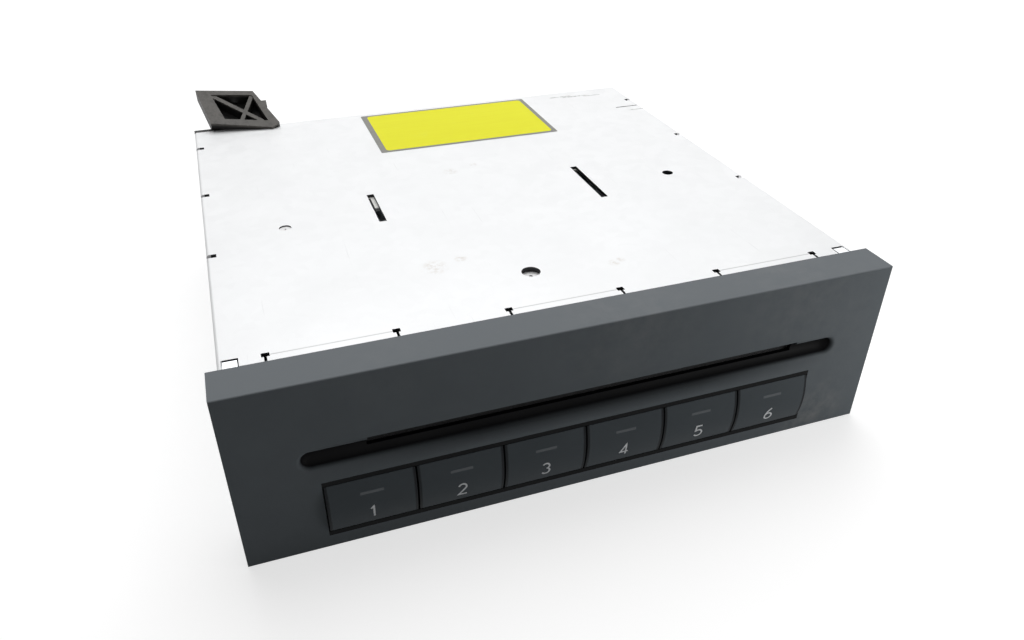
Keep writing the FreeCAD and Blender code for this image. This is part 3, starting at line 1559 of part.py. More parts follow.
def rear_bracket():
    # plan corners, across the case and along the slope, which starts over the cover
    left = s.ramp_inset - half_width
    near_left = (left + s.ramp_near_setback, s.ramp_near_reach)
    near_right = (near_left[0] + s.ramp_near_width, -s.ramp_near_overlap)
    right = (near_right[0] + s.ramp_corner, -s.ramp_corner_overlap)
    far_right = (left + s.ramp_far_width, s.ramp_length - s.ramp_skew)
    far_left = (left, s.ramp_length)
    ramp = Sketched("Ramp")
    ramp.slab("XY", -s.ramp_gauge, ZERO,
              outline(near_left, near_right, right, far_right, far_left))
    # one deep hollow with a broad rim on the left, divided by two crossed ribs
    rim = s.ramp_rim
    hollow = ((near_left[0] + s.ramp_broad_rim, near_left[1] + s.ramp_rib),
              (right[0] - rim * 2, rim / 2),
              (far_right[0] - s.ramp_rib / 2, far_right[1] - rim),
              (far_left[0] + s.ramp_broad_rim, far_left[1] - rim * 1.5))
    ramp.pocket("XY", -s.ramp_gauge + s.ramp_skin, ZERO, outline(*hollow))
    near_end = between(hollow[0], hollow[1], s.ramp_long_rib_share)
    short_end = between(hollow[0], hollow[1], s.ramp_short_rib_share)
    for start, end in ((hollow[3], near_end), (hollow[2], short_end)):
        ramp.slab("XY", -s.ramp_gauge + s.ramp_skin / 2, -s.ramp_rib_drop,
                  strip(start, end, s.ramp_rib / 2))
    ramp.pocket("XY", -s.ramp_gauge, ZERO,
                circle(left + s.ramp_hole_inset, s.ramp_hole_reach, s.ramp_hole_radius))
    # a small locating peg on the right edge
    peg = between(right, far_right, s.ramp_peg_share)
    ramp.slab("XY", -s.ramp_peg_length, -s.ramp_rib_drop, rectangle(
        peg[0] - s.ramp_peg_width, peg[0] + s.ramp_peg_width,
        peg[1] - s.ramp_peg_width, peg[1] + s.ramp_peg_width))
    angle = FreeCAD.Rotation(FreeCAD.Vector(1, 0, 0), s.ramp_angle.value)
    ramp.body.Placement = FreeCAD.Placement(FreeCAD.Vector(), angle)
    bind(ramp.body, {"Placement.Base.y": case_back - s.ramp_overlap,
                     "Placement.Base.z": s.chassis_height + s.ramp_rise})
    foot = box(-half_width, near_right[0], case_back, case_back + s.ramp_foot_gauge,
               s.chassis_height - s.ramp_foot_height, s.chassis_height)
    case = box(-half_width, ZERO, ZERO, case_back, ZERO, s.chassis_height)
    return node(fuse(cut(ramp.body, case), foot), "rear_bracket")


def bracket_screw_places():
    level = s.chassis_height - s.ramp_foot_height + s.bracket_screw_inset
    first = s.bracket_screw_inset - half_width
    return [(first, level), (first + s.bracket_screw_pitch, level)]


def bracket_screws():
    seat = case_back + s.ramp_foot_gauge
    heads = [six_sided("Y", s.screw_head_radius, seat, seat + s.screw_head_height, place)
             for place in bracket_screw_places()]
    return node(group(heads), "bracket_screws")


builders = [
    chassis_pan, top_cover, lock_tabs, front_bezel, slot_felts, button_board, tact_switches,
    indicator_leds, main_board, board_chips, main_socket, socket_pins, mechanism_frame,
    damper_grommets, damper_studs, load_motor_plate, lift_motor_plate, roller_gear, loading_idler,
    lift_gear, roller_shaft, roller_sleeves, elevator_carriage, cam_plate_left, cam_plate_right,
    pivot_brackets, traverse_base, spindle_motor, turntable, guide_rods, pickup_sled,
    objective_lens, sled_screw, sled_motor, upper_guide, guide_felt, clamp_arm, clamp_puck,
    rear_bracket, bracket_screws,
]
for build in builders:
    build()
for index in range(BUTTONS):
    button(index)
for index in range(SHELVES):
    disc_shelf(index)
centring_lever(-1, "centring_lever_left")
centring_lever(1, "centring_lever_right")
motor(load_plate_left, s.slide_gap - wall_inside, load_motor_back, load_motor_level,
      "loading_motor")
motor(lift_plate_right, wall_inside - s.slide_gap, lift_motor_back, lift_motor_level,
      "lift_motor")
motor_pinion(load_phase, load_gear_left, load_gear_right, load_motor_back, load_motor_level,
             load_plate_left, "loading_pinion")
motor_pinion(lift_phase, lift_gear_left, lift_gear_right, lift_motor_back, lift_motor_level,
             lift_plate_right, "lift_motor_pinion")

doc.recompute()
for piece in doc.Objects:
    if "Invalid" in piece.State or "Error" in piece.State:
        raise RuntimeError(f"{piece.Label}: {piece.State}")
for piece in nodes:
    if piece.Shape.isNull() or not piece.Shape.isValid():
        raise RuntimeError(f"{piece.Label}: no valid shape")

os.makedirs("parts", exist_ok=True)
for piece in nodes:
    piece.Shape.exportStep(os.path.join("parts", f"{piece.Label}.step"))
print(len(nodes), "nodes")
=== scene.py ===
import json
import math

import bmesh
import bpy
from mathutils import Matrix, Vector

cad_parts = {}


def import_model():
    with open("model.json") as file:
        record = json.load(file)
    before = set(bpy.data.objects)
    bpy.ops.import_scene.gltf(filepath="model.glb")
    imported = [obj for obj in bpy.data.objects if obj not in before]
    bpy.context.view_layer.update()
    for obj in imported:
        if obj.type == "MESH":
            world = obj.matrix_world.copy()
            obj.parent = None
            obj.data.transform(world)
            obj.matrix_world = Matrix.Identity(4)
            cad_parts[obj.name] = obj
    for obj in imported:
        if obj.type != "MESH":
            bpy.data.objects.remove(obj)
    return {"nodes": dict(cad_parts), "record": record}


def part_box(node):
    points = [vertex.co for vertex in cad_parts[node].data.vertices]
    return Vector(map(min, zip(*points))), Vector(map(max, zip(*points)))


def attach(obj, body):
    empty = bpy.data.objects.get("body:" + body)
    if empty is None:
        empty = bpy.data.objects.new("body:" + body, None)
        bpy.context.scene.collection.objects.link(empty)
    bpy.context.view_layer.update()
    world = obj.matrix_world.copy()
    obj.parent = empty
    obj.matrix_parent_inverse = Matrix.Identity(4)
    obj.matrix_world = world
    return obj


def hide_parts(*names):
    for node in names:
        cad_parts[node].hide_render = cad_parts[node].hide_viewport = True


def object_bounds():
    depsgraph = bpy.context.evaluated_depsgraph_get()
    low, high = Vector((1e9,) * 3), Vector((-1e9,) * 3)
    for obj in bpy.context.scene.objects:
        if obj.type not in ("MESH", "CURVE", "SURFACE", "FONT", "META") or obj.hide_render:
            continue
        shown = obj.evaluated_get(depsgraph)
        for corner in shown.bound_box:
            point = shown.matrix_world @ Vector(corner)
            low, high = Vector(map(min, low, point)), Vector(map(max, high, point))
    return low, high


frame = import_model()
cad_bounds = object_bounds()

MM = 0.001

# The frame's own boxes, from which the places on the case are worked out
cover_low, cover_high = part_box("top_cover")
bezel_low, bezel_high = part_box("front_bezel")
pan_low, pan_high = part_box("chassis_pan")
COVER_TOP = cover_high.z
SHEET = 1.0 * MM
BUTTONS = range(1, 7)
WHITE = (1.0, 1.0, 1.0, 1.0)
BLACK = (0.0, 0.0, 0.0, 1.0)

# Steps of a round corner and of a whole turn
CORNER_STEPS = 6
TURN_STEPS = 40

# The longest straight step of a printed stroke, and the least cosine at its mitres
RIBBON_STEP = 0.35 * MM
SHARPEST = 0.5

# A face stands while its normal points up or down by less than STANDING, and is level from LEVEL
STANDING = 0.3
LEVEL = 0.6

# Where a Mix node's sockets for colours stand in its lists
MIX_FACTOR = 0
MIX_FIRST = 6
MIX_SECOND = 7
MIX_COLOUR = 2


# ---------------------------------------------------------------------------
# Building blocks
# ---------------------------------------------------------------------------

def srgb(red, green, blue):
    """A scene colour from the 0 to 255 values in which it is usually named."""
    def linear(value):
        value /= 255
        return value / 12.92 if value <= 0.04045 else ((value + 0.055) / 1.055) ** 2.4
    return (linear(red), linear(green), linear(blue), 1.0)


def shade(tone, shift=0):
    """A tone of 0 to 255 values as a scene colour, made lighter or darker by shift."""
    return srgb(*(value + shift for value in tone))


class Tree:
    """A node tree, with short ways to add nodes to it."""

    def __init__(self, tree):
        self.nodes = tree.nodes
        self.links = tree.links

    def add(self, kind, inputs=None, **settings):
        node = self.nodes.new(kind)
        for name, value in settings.items():
            setattr(node, name, value)
        for name, value in (inputs or {}).items():
            if isinstance(value, bpy.types.NodeSocket):
                self.links.new(value, node.inputs[name])
            else:
                node.inputs[name].default_value = value
        return node

    def math(self, operation, first, second=0.0, clamp=False):
        return self.add("ShaderNodeMath", {0: first, 1: second}, operation=operation,
                        use_clamp=clamp).outputs[0]

    def seen(self):
        """1 for camera, glossy and transmission rays, and 0 for all others."""
        path = self.add("ShaderNodeLightPath").outputs
        direct = self.math("ADD", path["Is Camera Ray"], path["Is Glossy Ray"])
        return self.math("ADD", direct, path["Is Transmission Ray"], clamp=True)

    def mix_shaders(self, share, first, second):
        return self.add("ShaderNodeMixShader", {0: share, 1: first, 2: second}).outputs[0]


class Finish(Tree):
    """A material made of procedural nodes around one Principled shader."""

    def __init__(self, name, roughness, metallic=0.0, **sockets):
        self.material = bpy.data.materials.new(name)
        self.material.use_nodes = True
        super().__init__(self.material.node_tree)
        self.shader = self.nodes["Principled BSDF"]
        self.shader.inputs["Roughness"].default_value = roughness
        self.shader.inputs["Metallic"].default_value = metallic
        for socket, value in sockets.items():
            self.shader.inputs[socket.replace("_", " ")].default_value = value
        self.place = self.add("ShaderNodeTexCoord").outputs["Object"]
        self.base = None
        self.last_normal = None

    def stretched(self, x=1.0, y=1.0, z=1.0, turn=0.0):
        """The object's own coordinates, stretched for brushed or scratched patterns."""
        return self.add("ShaderNodeMapping", {"Vector": self.place, "Scale": (x, y, z),
                                              "Rotation": (0, 0, turn)}).outputs["Vector"]

    def noise(self, grain, detail=2.0, roughness=0.5, place=None):
        """Noise whose patches are about grain metres across."""
        return self.add("ShaderNodeTexNoise", {
            "Vector": place or self.place, "Scale": 1 / grain, "Detail": detail,
            "Roughness": roughness}).outputs["Fac"]

    def cells(self, grain, output="Color"):
        return self.add("ShaderNodeTexVoronoi", {
            "Vector": self.place, "Scale": 1 / grain}).outputs[output]

    def band(self, value, low, high, to_low=0.0, to_high=1.0):
        """Maps low..high to to_low..to_high and holds the ends."""
        return self.add("ShaderNodeMapRange", {
            "Value": value, "From Min": low, "From Max": high,
            "To Min": to_low, "To Max": to_high}).outputs["Result"]

    def axes(self):
        """The object's own x, y and z."""
        parts = self.add("ShaderNodeSeparateXYZ", {"Vector": self.place}).outputs
        return parts["X"], parts["Y"], parts["Z"]

    def upright(self):
        """1 on standing faces and 0 on level ones."""
        normal = self.add("ShaderNodeNewGeometry").outputs["Normal"]
        up = self.add("ShaderNodeSeparateXYZ", {"Vector": normal}).outputs["Z"]
        return self.band(self.math("ABSOLUTE", up), STANDING, LEVEL, 1.0, 0.0)

    def within(self, value, low, high, fade):
        """1 between two values of a coordinate, falling to 0 over fade outside them."""
        rise = self.band(value, low - fade, low)
        return self.math("MULTIPLY", rise, self.band(value, high, high + fade, 1.0, 0.0))

    def every(self, *masks):
        """The product of several masks."""
        product = masks[0]
        for mask in masks[1:]:
            product = self.math("MULTIPLY", product, mask)
        return product

    def distance(self, centre):
        """How far the object's own coordinates are from a place."""
        return self.add("ShaderNodeVectorMath", {0: self.place, 1: centre},
                        operation="DISTANCE").outputs["Value"]

    def near(self, centre, reach, fade):
        """1 within reach of a place, falling to 0 over fade."""
        return self.band(self.distance(centre), reach, reach + fade, 1.0, 0.0)

    def blend(self, share, first, second):
        """The first colour, turning into the second one as share rises from 0 to 1."""
        return self.add("ShaderNodeMix", {MIX_FACTOR: share, MIX_FIRST: first, MIX_SECOND: second},
                        data_type="RGBA").outputs[MIX_COLOUR]

    def colour(self, socket):
        """Sets the shader's colour and keeps it as base, for a finish that adds to it."""
        self.base = socket
        self.links.new(socket, self.shader.inputs["Base Color"])

    def rough(self, socket):
        self.links.new(socket, self.shader.inputs["Roughness"])

    def bump(self, height, depth, strength=1.0):
        """Relief of depth metres, added over any relief set before."""
        inputs = {"Height": height, "Distance": depth, "Strength": strength}
        if self.last_normal is not None:
            inputs["Normal"] = self.last_normal
        self.last_normal = self.add("ShaderNodeBump", inputs).outputs["Normal"]
        self.links.new(self.last_normal, self.shader.inputs["Normal"])


def mesh_piece(name, build, finishes, body="case"):
    """Runs build on a fresh bmesh and makes a piece of it that rides on a body."""
    work = bmesh.new()
    build(work)
    bmesh.ops.recalc_face_normals(work, faces=work.faces)
    mesh = bpy.data.meshes.new(name)
    work.to_mesh(mesh)
    work.free()
    for finish in finishes:
        mesh.materials.append(finish.material)
    piece = bpy.data.objects.new(name, mesh)
    bpy.context.scene.collection.objects.link(piece)
    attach(piece, body)
    return piece


def rounded_outline(left, right, front, back, radius):
    """The corners of a rectangle with round corners, counter-clockwise from the front right."""
    centres = ((right - radius, front + radius, -math.pi / 2),
               (right - radius, back - radius, 0.0),
               (left + radius, back - radius, math.pi / 2),
               (left + radius, front + radius, math.pi))
    outline = []
    for x, y, start in centres:
        for step in range(CORNER_STEPS + 1):
            angle = start + math.pi / 2 * step / CORNER_STEPS
            outline.append((x + radius * math.cos(angle), y + radius * math.sin(angle)))
    return outline


def shell(work, rings, slot_index=0, close=False):
    """Faces between rings of vertices, with end faces, or closed into a loop."""
    count = len(rings[0])
    pairs = list(zip(rings, rings[1:]))
    if close:
        pairs.append((rings[-1], rings[0]))
    faces = [work.faces.new((first[index], first[(index + 1) % count],
                             last[(index + 1) % count], last[index]))
             for first, last in pairs for index in range(count)]
    if not close:
        faces += [work.faces.new(rings[0][::-1]), work.faces.new(rings[-1])]
    for face in faces:
        face.material_index = slot_index


def plate(work, outline, low, high, edge, slot_index=0):
    """A flat plate on an outline, its upper rim turned over by edge."""
    count = len(outline)
    centre = Vector((sum(x for x, _ in outline) / count, sum(y for _, y in outline) / count))
    rings = []
    for level, inset in ((low, 0.0), (high - edge, 0.0), (high, edge)):
        ring = []
        for x, y in outline:
            away = (centre - Vector((x, y))).normalized() * inset
            ring.append(work.verts.new((x + away.x, y + away.y, level)))
        rings.append(ring)
    shell(work, rings, slot_index)


def turned(work, profile, centre, slot_index=0):
    """A ring turned about an upright axis from a closed outline of radius and level."""
    rings = []
    for step in range(TURN_STEPS):
        angle = 2 * math.pi * step / TURN_STEPS
        rings.append([work.verts.new((centre[0] + radius * math.cos(angle),
                                      centre[1] + radius * math.sin(angle), level))
                      for radius, level in profile])
    shell(work, rings, slot_index, close=True)


def ribbon(work, points, half, gauge, place):
    """A band along a flat line, laid by place(x, up, out) on a curved face."""
    fine = [Vector(points[0])]
    for first, last in zip(points, points[1:]):
        steps = max(1, math.ceil(math.dist(first, last) / RIBBON_STEP))
        fine += [Vector(first).lerp(Vector(last), (step + 1) / steps) for step in range(steps)]
    ahead = [(last - first).normalized() for first, last in zip(fine, fine[1:])]
    rings = []
    for here, first, last in zip(fine, ahead[:1] + ahead, ahead + ahead[-1:]):
        along = (first + last).normalized()
        side = Vector((-along.y, along.x)) * half / max(SHARPEST, along.dot(first))
        rings.append([work.verts.new(place(*(here + side * way), gauge * out))
                      for way, out in ((1, 1), (-1, 1), (-1, -1), (1, -1))])
    shell(work, rings)


# ---------------------------------------------------------------------------
# Finishes
# ---------------------------------------------------------------------------

def galvanised_steel(name="galvanised_steel", metallic=0.75, tone=(226, 228, 230)):
    """Zinc-coated sheet: faint spangle, hairline scratches, stains from handling."""
    finish = Finish(name, 0.42, metallic)
    spangle = finish.cells(3.2 * MM)
    grey = finish.add("ShaderNodeSeparateColor", {"Color": spangle}).outputs["Red"]
    base = finish.blend(grey, shade(tone), shade(tone, 3))
    cloud = finish.band(finish.noise(30 * MM, 4), 0.35, 0.75, 0.0, 0.5)
    base = finish.blend(cloud, base, shade(tone, -7))
    fleck = finish.band(finish.noise(1.1 * MM, 3, 0.65), 0.73, 0.80, 0.0, 0.4)
    base = finish.blend(fleck, base, srgb(182, 178, 172))
    scratch = finish.noise(0.9 * MM, 3, place=finish.stretched(1.0, 0.03, 1.0, 0.5))
    line = finish.band(scratch, 0.71, 0.75, 0.0, 0.35)
    finish.colour(finish.blend(line, base, shade(tone, -26)))
    finish.rough(finish.band(finish.math("ADD", grey, cloud), 0.0, 1.5, 0.40, 0.52))
    finish.bump(finish.noise(0.5 * MM, 2), 0.003 * MM, 0.4)
    finish.bump(scratch, 0.006 * MM, 0.3)
    return finish


# Marks on the cover. Smudges: x and y of the middle, reach and fade in millimetres, and strength.
# Scuffs: x and y of the middle, half length and half width in millimetres
COVER_SMUDGES = ((-29.0, -49.0, 1.6, 3.0, 0.30), (-20.5, -46.5, 0.6, 1.6, 0.35),
                 (-6.0, 15.0, 0.8, 2.2, 0.26), (3.5, 18.5, 0.4, 1.3, 0.30),
                 (20.0, -63.0, 0.5, 1.5, 0.40), (22.5, -62.0, 0.4, 1.2, 0.35))
COVER_SCUFFS = ((61.2, 77.8, 4.0, 0.25), (67.5, 76.6, 5.0, 0.30), (75.0, 75.6, 3.0, 0.22),
                (86.0, 53.0, 3.6, 0.16))
SCUFF_END_FADE = 1.2 * MM
SCUFF_SIDE_FADE = 0.2 * MM

# The faint lines where the cover's three front lips are bent. BEND_LINE is how far behind the
# pan's front edge they lie, and the lips stand in a row along x
BEND_LINE = 6.1 * MM
BEND_LINE_WIDTH = 0.3 * MM
BEND_LINE_FADE = 0.15 * MM
BEND_LINE_SHARE = 0.5
LIP_PITCH = 61.4 * MM
LIP_SHIFT = -0.5 * MM
LIP_HALF = 14.9 * MM
LIP_FADE = 0.3 * MM

# The cover's sheared edges, painted dark as shade, and the pan's inside, painted dark as shade,
# start this far inside their outlines
COVER_MARGIN = 1.3 * MM
PAN_MARGIN = 1.2 * MM
PAN_SHADE_FADE = 0.05 * MM
PAN_SHADE_SHARE = 0.85
MASK_FADE = 0.1 * MM


def cover_steel():
    """The cover's bright sheet, with sheared edges painted dark as shade, bend lines, smudges and
    scuffs.
    """
    finish = galvanised_steel("cover_steel", 0.18, (241, 242, 243))
    base = finish.base
    x, y, z = finish.axes()
    spots = finish.band(finish.noise(1.5 * MM, 5, 0.7), 0.42, 0.60)
    for px, py, reach, fade, share in COVER_SMUDGES:
        here = finish.near((px * MM, py * MM, COVER_TOP), reach * MM, fade * MM)
        base = finish.blend(finish.every(here, spots, share), base, srgb(166, 148, 122))
    on_top = finish.band(z, COVER_TOP - SHEET * 0.3, COVER_TOP - SHEET * 0.1)
    worn = finish.band(spots, 0.1, 0.7, 0.25, 0.8)
    for px, py, length, width in COVER_SCUFFS:
        along = finish.within(x, (px - length) * MM, (px + length) * MM, SCUFF_END_FADE)
        across = finish.within(y, (py - width) * MM, (py + width) * MM, SCUFF_SIDE_FADE)
        base = finish.blend(finish.every(along, across, worn, on_top), base,
                            srgb(120, 118, 114))
    bend = pan_low.y + BEND_LINE
    line = finish.within(y, bend, bend + BEND_LINE_WIDTH, BEND_LINE_FADE)
    for index in (-1, 0, 1):
        centre = LIP_PITCH * index + LIP_SHIFT
        lip = finish.within(x, centre - LIP_HALF, centre + LIP_HALF, LIP_FADE)
        base = finish.blend(finish.every(line, lip, BEND_LINE_SHARE), base, srgb(150, 150, 150))
    # Painted shade: the standing walls of the cover's holes, slots and notches are painted near
    # black
    cut_edge_shade = finish.every(
        finish.upright(),
        finish.within(x, cover_low.x + COVER_MARGIN, cover_high.x - COVER_MARGIN, MASK_FADE),
        finish.within(y, cover_low.y + COVER_MARGIN, cover_high.y - COVER_MARGIN, MASK_FADE),
        finish.within(z, COVER_TOP - SHEET * 1.2, COVER_TOP + SHEET, MASK_FADE))
    finish.colour(finish.blend(cut_edge_shade, base, srgb(52, 52, 54)))
    return finish


def pan_steel():
    """The tray's sheet: bright outside, and darkened inside with painted shade, seen where the
    front wall's top shows.
    """
    finish = galvanised_steel("pan_steel")
    x, y, z = finish.axes()
    # Painted shade: the pan's inner faces are darkened towards near black
    inside = finish.every(
        finish.within(x, pan_low.x + PAN_MARGIN, pan_high.x - PAN_MARGIN, MASK_FADE),
        finish.within(y, pan_low.y + SHEET * 0.1, pan_high.y - SHEET * 0.3, MASK_FADE),
        finish.within(z, SHEET * 0.8, COVER_TOP - SHEET * 1.1, PAN_SHADE_FADE),
        PAN_SHADE_SHARE)
    finish.colour(finish.blend(inside, finish.base, srgb(58, 58, 60)))
    return finish


def moulded_plastic(name, tone, roughness, grain=0.35 * MM, relief=0.012 * MM, specular=0.35):
    """Fine spark-eroded grain with a little uneven sheen and settled dust."""
    finish = Finish(name, roughness, Specular_IOR_Level=specular)
    sheen = finish.noise(14 * MM, 3)
    base = finish.blend(finish.band(sheen, 0.35, 0.70), shade(tone), shade(tone, 5))
    dust = finish.band(finish.noise(0.8 * MM, 4, 0.7), 0.70, 0.80, 0.0, 0.30)
    finish.colour(finish.blend(dust, base, shade(tone, 40)))
    finish.rough(finish.band(sheen, 0.3, 0.7, roughness - 0.04, roughness + 0.07))
    finish.bump(finish.noise(grain, 3, 0.6), relief, 0.8)
    return finish


# Where hands have rubbed the front and its top, in millimetres: x of the middle, height of the
# middle (on the front only), reach and fade, and then the strength
BEZEL_RUBS = ((77.0, 7.0, 2.5, 9.0, 0.50), (70.0, 3.0, 1.5, 6.0, 0.34),
              (74.0, 36.0, 3.0, 30.0, 0.10))
BEZEL_TOP_RUBS = ((12.0, 4.0, 24.0, 0.22), (60.0, 3.0, 20.0, 0.18), (-52.0, 2.0, 14.0, 0.12))
TOP_RUB_INSET = 6.0 * MM

# Inside its rim, painted shade darkens the plastic over the first millimetre behind the face
RIM = 1.5 * MM
RIM_FADE = 0.5 * MM
FACE_DEPTH = 0.1 * MM
SHADE_DEPTH = 1.1 * MM

# The top face and its edge are lightened as a painted sheen, and the walls of the button window
# are darkened as painted shade
TOP_SHEEN_START = 0.3 * MM
TOP_SHEEN_FULL = 0.1 * MM
TOP_SHEEN_SHARE = 0.32
WINDOW_EDGE = 0.3 * MM

# The band of the slot and scoop is painted dark as shade. It fades out below the scoop and towards
# both sides
SLOT_TOP = bezel_high.z - 19.5 * MM
SCOOP_LOW = SLOT_TOP - 7.1 * MM
SHADE_BAND_START = SCOOP_LOW - 3.4 * MM
SHADE_BAND_FULL = SCOOP_LOW + 0.4 * MM
SHADE_BAND_LOW = SCOOP_LOW - 4.0 * MM
SHADE_BAND_LEFT = -30.0 * MM
SHADE_BAND_RIGHT = 34.0 * MM
SHADE_BAND_END_FADE = 44.0 * MM
SHADE_BAND_SHARE = 0.8


def bezel_plastic():
    """The front's graphite plastic, with faint rubbed haze by the sixth button and on top, a
    painted sheen along its top, and painted shade in its button window, slot band and recesses.
    """
    finish = moulded_plastic("bezel_plastic", (101, 107, 111), 0.58, specular=0.08)
    base = finish.base
    worn = finish.band(finish.noise(4.5 * MM, 5, 0.6), 0.38, 0.70)
    rubs = [((px * MM, bezel_low.y, pz * MM), *rest) for px, pz, *rest in BEZEL_RUBS]
    rubs += [((px * MM, bezel_low.y + TOP_RUB_INSET, bezel_high.z), *rest)
             for px, *rest in BEZEL_TOP_RUBS]
    for place, reach, fade, share in rubs:
        here = finish.near(place, reach * MM, fade * MM)
        base = finish.blend(finish.every(here, worn, share), base, srgb(150, 150, 148))
    x, y, z = finish.axes()
    # Painted highlight: the top face and the front's top edge are lightened as a painted sheen
    bloom = finish.band(z, bezel_high.z - TOP_SHEEN_START, bezel_high.z - TOP_SHEEN_FULL, 0.0,
                        TOP_SHEEN_SHARE)
    base = finish.blend(bloom, base, srgb(150, 154, 158))
    first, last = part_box("button_1")[0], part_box("button_6")[1]
    # Painted shade: the walls of the button window, in the gaps round the buttons, are painted
    # near black
    window = finish.every(
        finish.within(x, first.x - WINDOW_EDGE, last.x + WINDOW_EDGE, MASK_FADE),
        finish.within(z, first.z - WINDOW_EDGE, last.z + WINDOW_EDGE, MASK_FADE))
    base = finish.blend(window, base, srgb(10, 11, 12))
    # Painted shade over the slot and scoop, fading out below the scoop and towards both sides
    scoop_shade = finish.every(
        finish.band(z, SHADE_BAND_START, SHADE_BAND_FULL, 0.0, SHADE_BAND_SHARE),
        finish.within(z, SHADE_BAND_LOW, SLOT_TOP, MASK_FADE),
        finish.within(x, SHADE_BAND_LEFT, SHADE_BAND_RIGHT, SHADE_BAND_END_FADE))
    base = finish.blend(scoop_shade, base, srgb(12, 14, 17))
    # Painted shade: faces set back behind the front are painted near black
    recess_shade = finish.every(
        finish.band(y, bezel_low.y + FACE_DEPTH, bezel_low.y + SHADE_DEPTH),
        finish.within(x, bezel_low.x + RIM, bezel_high.x - RIM, RIM_FADE),
        finish.within(z, bezel_low.z + RIM, bezel_high.z - RIM, RIM_FADE))
    finish.colour(finish.blend(recess_shade, base, srgb(3, 3, 4)))
    return finish


# The rims of the buttons, where the moulding turns down into the gaps, are painted dark as shade
BUTTON_RIM = 0.45 * MM
BUTTON_RIM_FADE = 0.4 * MM
BUTTON_RIM_SHADE_SHARE = 0.85


def button_plastic():
    """The buttons' plastic, with painted shade along the turned-down rims."""
    finish = moulded_plastic("button_plastic", (74, 80, 84), 0.50, specular=0.10)
    first_low, first_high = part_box("button_1")
    second_low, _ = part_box("button_2")
    pitch = second_low.x - first_low.x
    half_gap = (second_low.x - first_high.x) / 2
    x, _, z = finish.axes()
    from_gap = finish.math("SUBTRACT", x, (first_high.x + second_low.x) / 2)
    from_side = finish.math("SUBTRACT", finish.math("PINGPONG", from_gap, pitch / 2), half_gap)
    from_middle = finish.math("SUBTRACT", z, (first_low.z + first_high.z) / 2)
    from_end = finish.math("SUBTRACT", (first_high.z - first_low.z) / 2,
                           finish.math("ABSOLUTE", from_middle))
    edge = finish.math("MINIMUM", from_side, from_end)
    # Painted shade: a dark band along each button's edges
    rim_shade = finish.band(edge, BUTTON_RIM, BUTTON_RIM + BUTTON_RIM_FADE, BUTTON_RIM_SHADE_SHARE, 0.0)
    finish.colour(finish.blend(rim_shade, finish.base, srgb(12, 13, 15)))
    return finish


# The rear bracket's ribbed face is a plane that slopes up from over the cover's rear edge. The
# plastic is plain down to RIB_DEPTH under it, and from CELL_DEPTH on it is painted dark as the
# cells' shade
RAMP_SLOPE = math.radians(30)
RAMP_OVERLAP = 3.0 * MM
RAMP_LIFT = 2.1 * MM
RAMP_START = Vector((0.0, pan_high.y - RAMP_OVERLAP, COVER_TOP + RAMP_LIFT))
RAMP_NORMAL = Vector((0.0, -math.sin(RAMP_SLOPE), math.cos(RAMP_SLOPE)))
RIB_DEPTH = 0.4 * MM
CELL_DEPTH = 1.6 * MM


def bracket_plastic():
    """Black moulding whose rims are rubbed to a warm grey, and whose cells are painted dark as
    shade.
    """
    finish = moulded_plastic("bracket_plastic", (92, 89, 85), 0.48, 0.6 * MM, specular=0.3)
    from_plane = finish.add("ShaderNodeVectorMath", {0: finish.place, 1: RAMP_START},
                            operation="SUBTRACT").outputs["Vector"]
    rise = finish.add("ShaderNodeVectorMath", {0: from_plane, 1: RAMP_NORMAL},
                      operation="DOT_PRODUCT").outputs["Value"]
    # Painted shade: below the rib tops the cells are painted near black
    cell_shade = finish.band(rise, -CELL_DEPTH, -RIB_DEPTH, 1.0, 0.0)
    base = finish.blend(cell_shade, finish.base, srgb(26, 25, 25))
    worn = finish.band(finish.noise(2.6 * MM, 5, 0.7), 0.44, 0.66, 0.0, 0.55)
    finish.colour(finish.blend(worn, base, srgb(50, 47, 45)))
    return finish


def felt():
    finish = Finish("felt", 0.95, Specular_IOR_Level=0.1, Sheen_Weight=0.4)
    fibre = finish.noise(0.3 * MM, 5, 0.7, finish.stretched(1.0, 2.5, 2.5))
    finish.colour(finish.blend(fibre, srgb(8, 8, 9), srgb(26, 26, 27)))
    finish.bump(fibre, 0.15 * MM)
    return finish


def rubber():
    finish = Finish("rubber", 0.72, Specular_IOR_Level=0.3)
    bloom = finish.noise(3 * MM, 4)
    finish.colour(finish.blend(finish.band(bloom, 0.4, 0.7), srgb(30, 30, 31),
                               srgb(52, 52, 53)))
    finish.bump(finish.noise(0.25 * MM, 2), 0.01 * MM, 0.6)
    return finish


def clean_plastic(name, tone, roughness=0.45):
    """Unpainted engineering plastic with a faint flow pattern."""
    finish = Finish(name, roughness)
    flow = finish.noise(6 * MM, 3, place=finish.stretched(1.0, 0.4, 1.0))
    finish.colour(finish.blend(finish.band(flow, 0.35, 0.7), shade(tone), shade(tone, -12)))
    finish.rough(finish.band(flow, 0.3, 0.7, roughness - 0.05, roughness + 0.08))
    finish.bump(finish.noise(0.4 * MM, 2), 0.004 * MM, 0.5)
    return finish


def turned_steel(name, tone, roughness, stretch):
    """Ground or drawn metal: fine lines along one direction."""
    finish = Finish(name, roughness, 1.0)
    lines = finish.noise(0.5 * MM, 3, place=finish.stretched(*stretch))
    finish.colour(finish.blend(lines, shade(tone, -22), shade(tone)))
    finish.rough(finish.band(lines, 0.3, 0.7, roughness - 0.08, roughness + 0.10))
    finish.bump(lines, 0.004 * MM, 0.5)
    return finish


# The circuit boards' tracks: how fine their pattern is, per metre, and how wide a track is in it
TRACK_SCALE = 260.0
TRACK_SHARE = 0.012


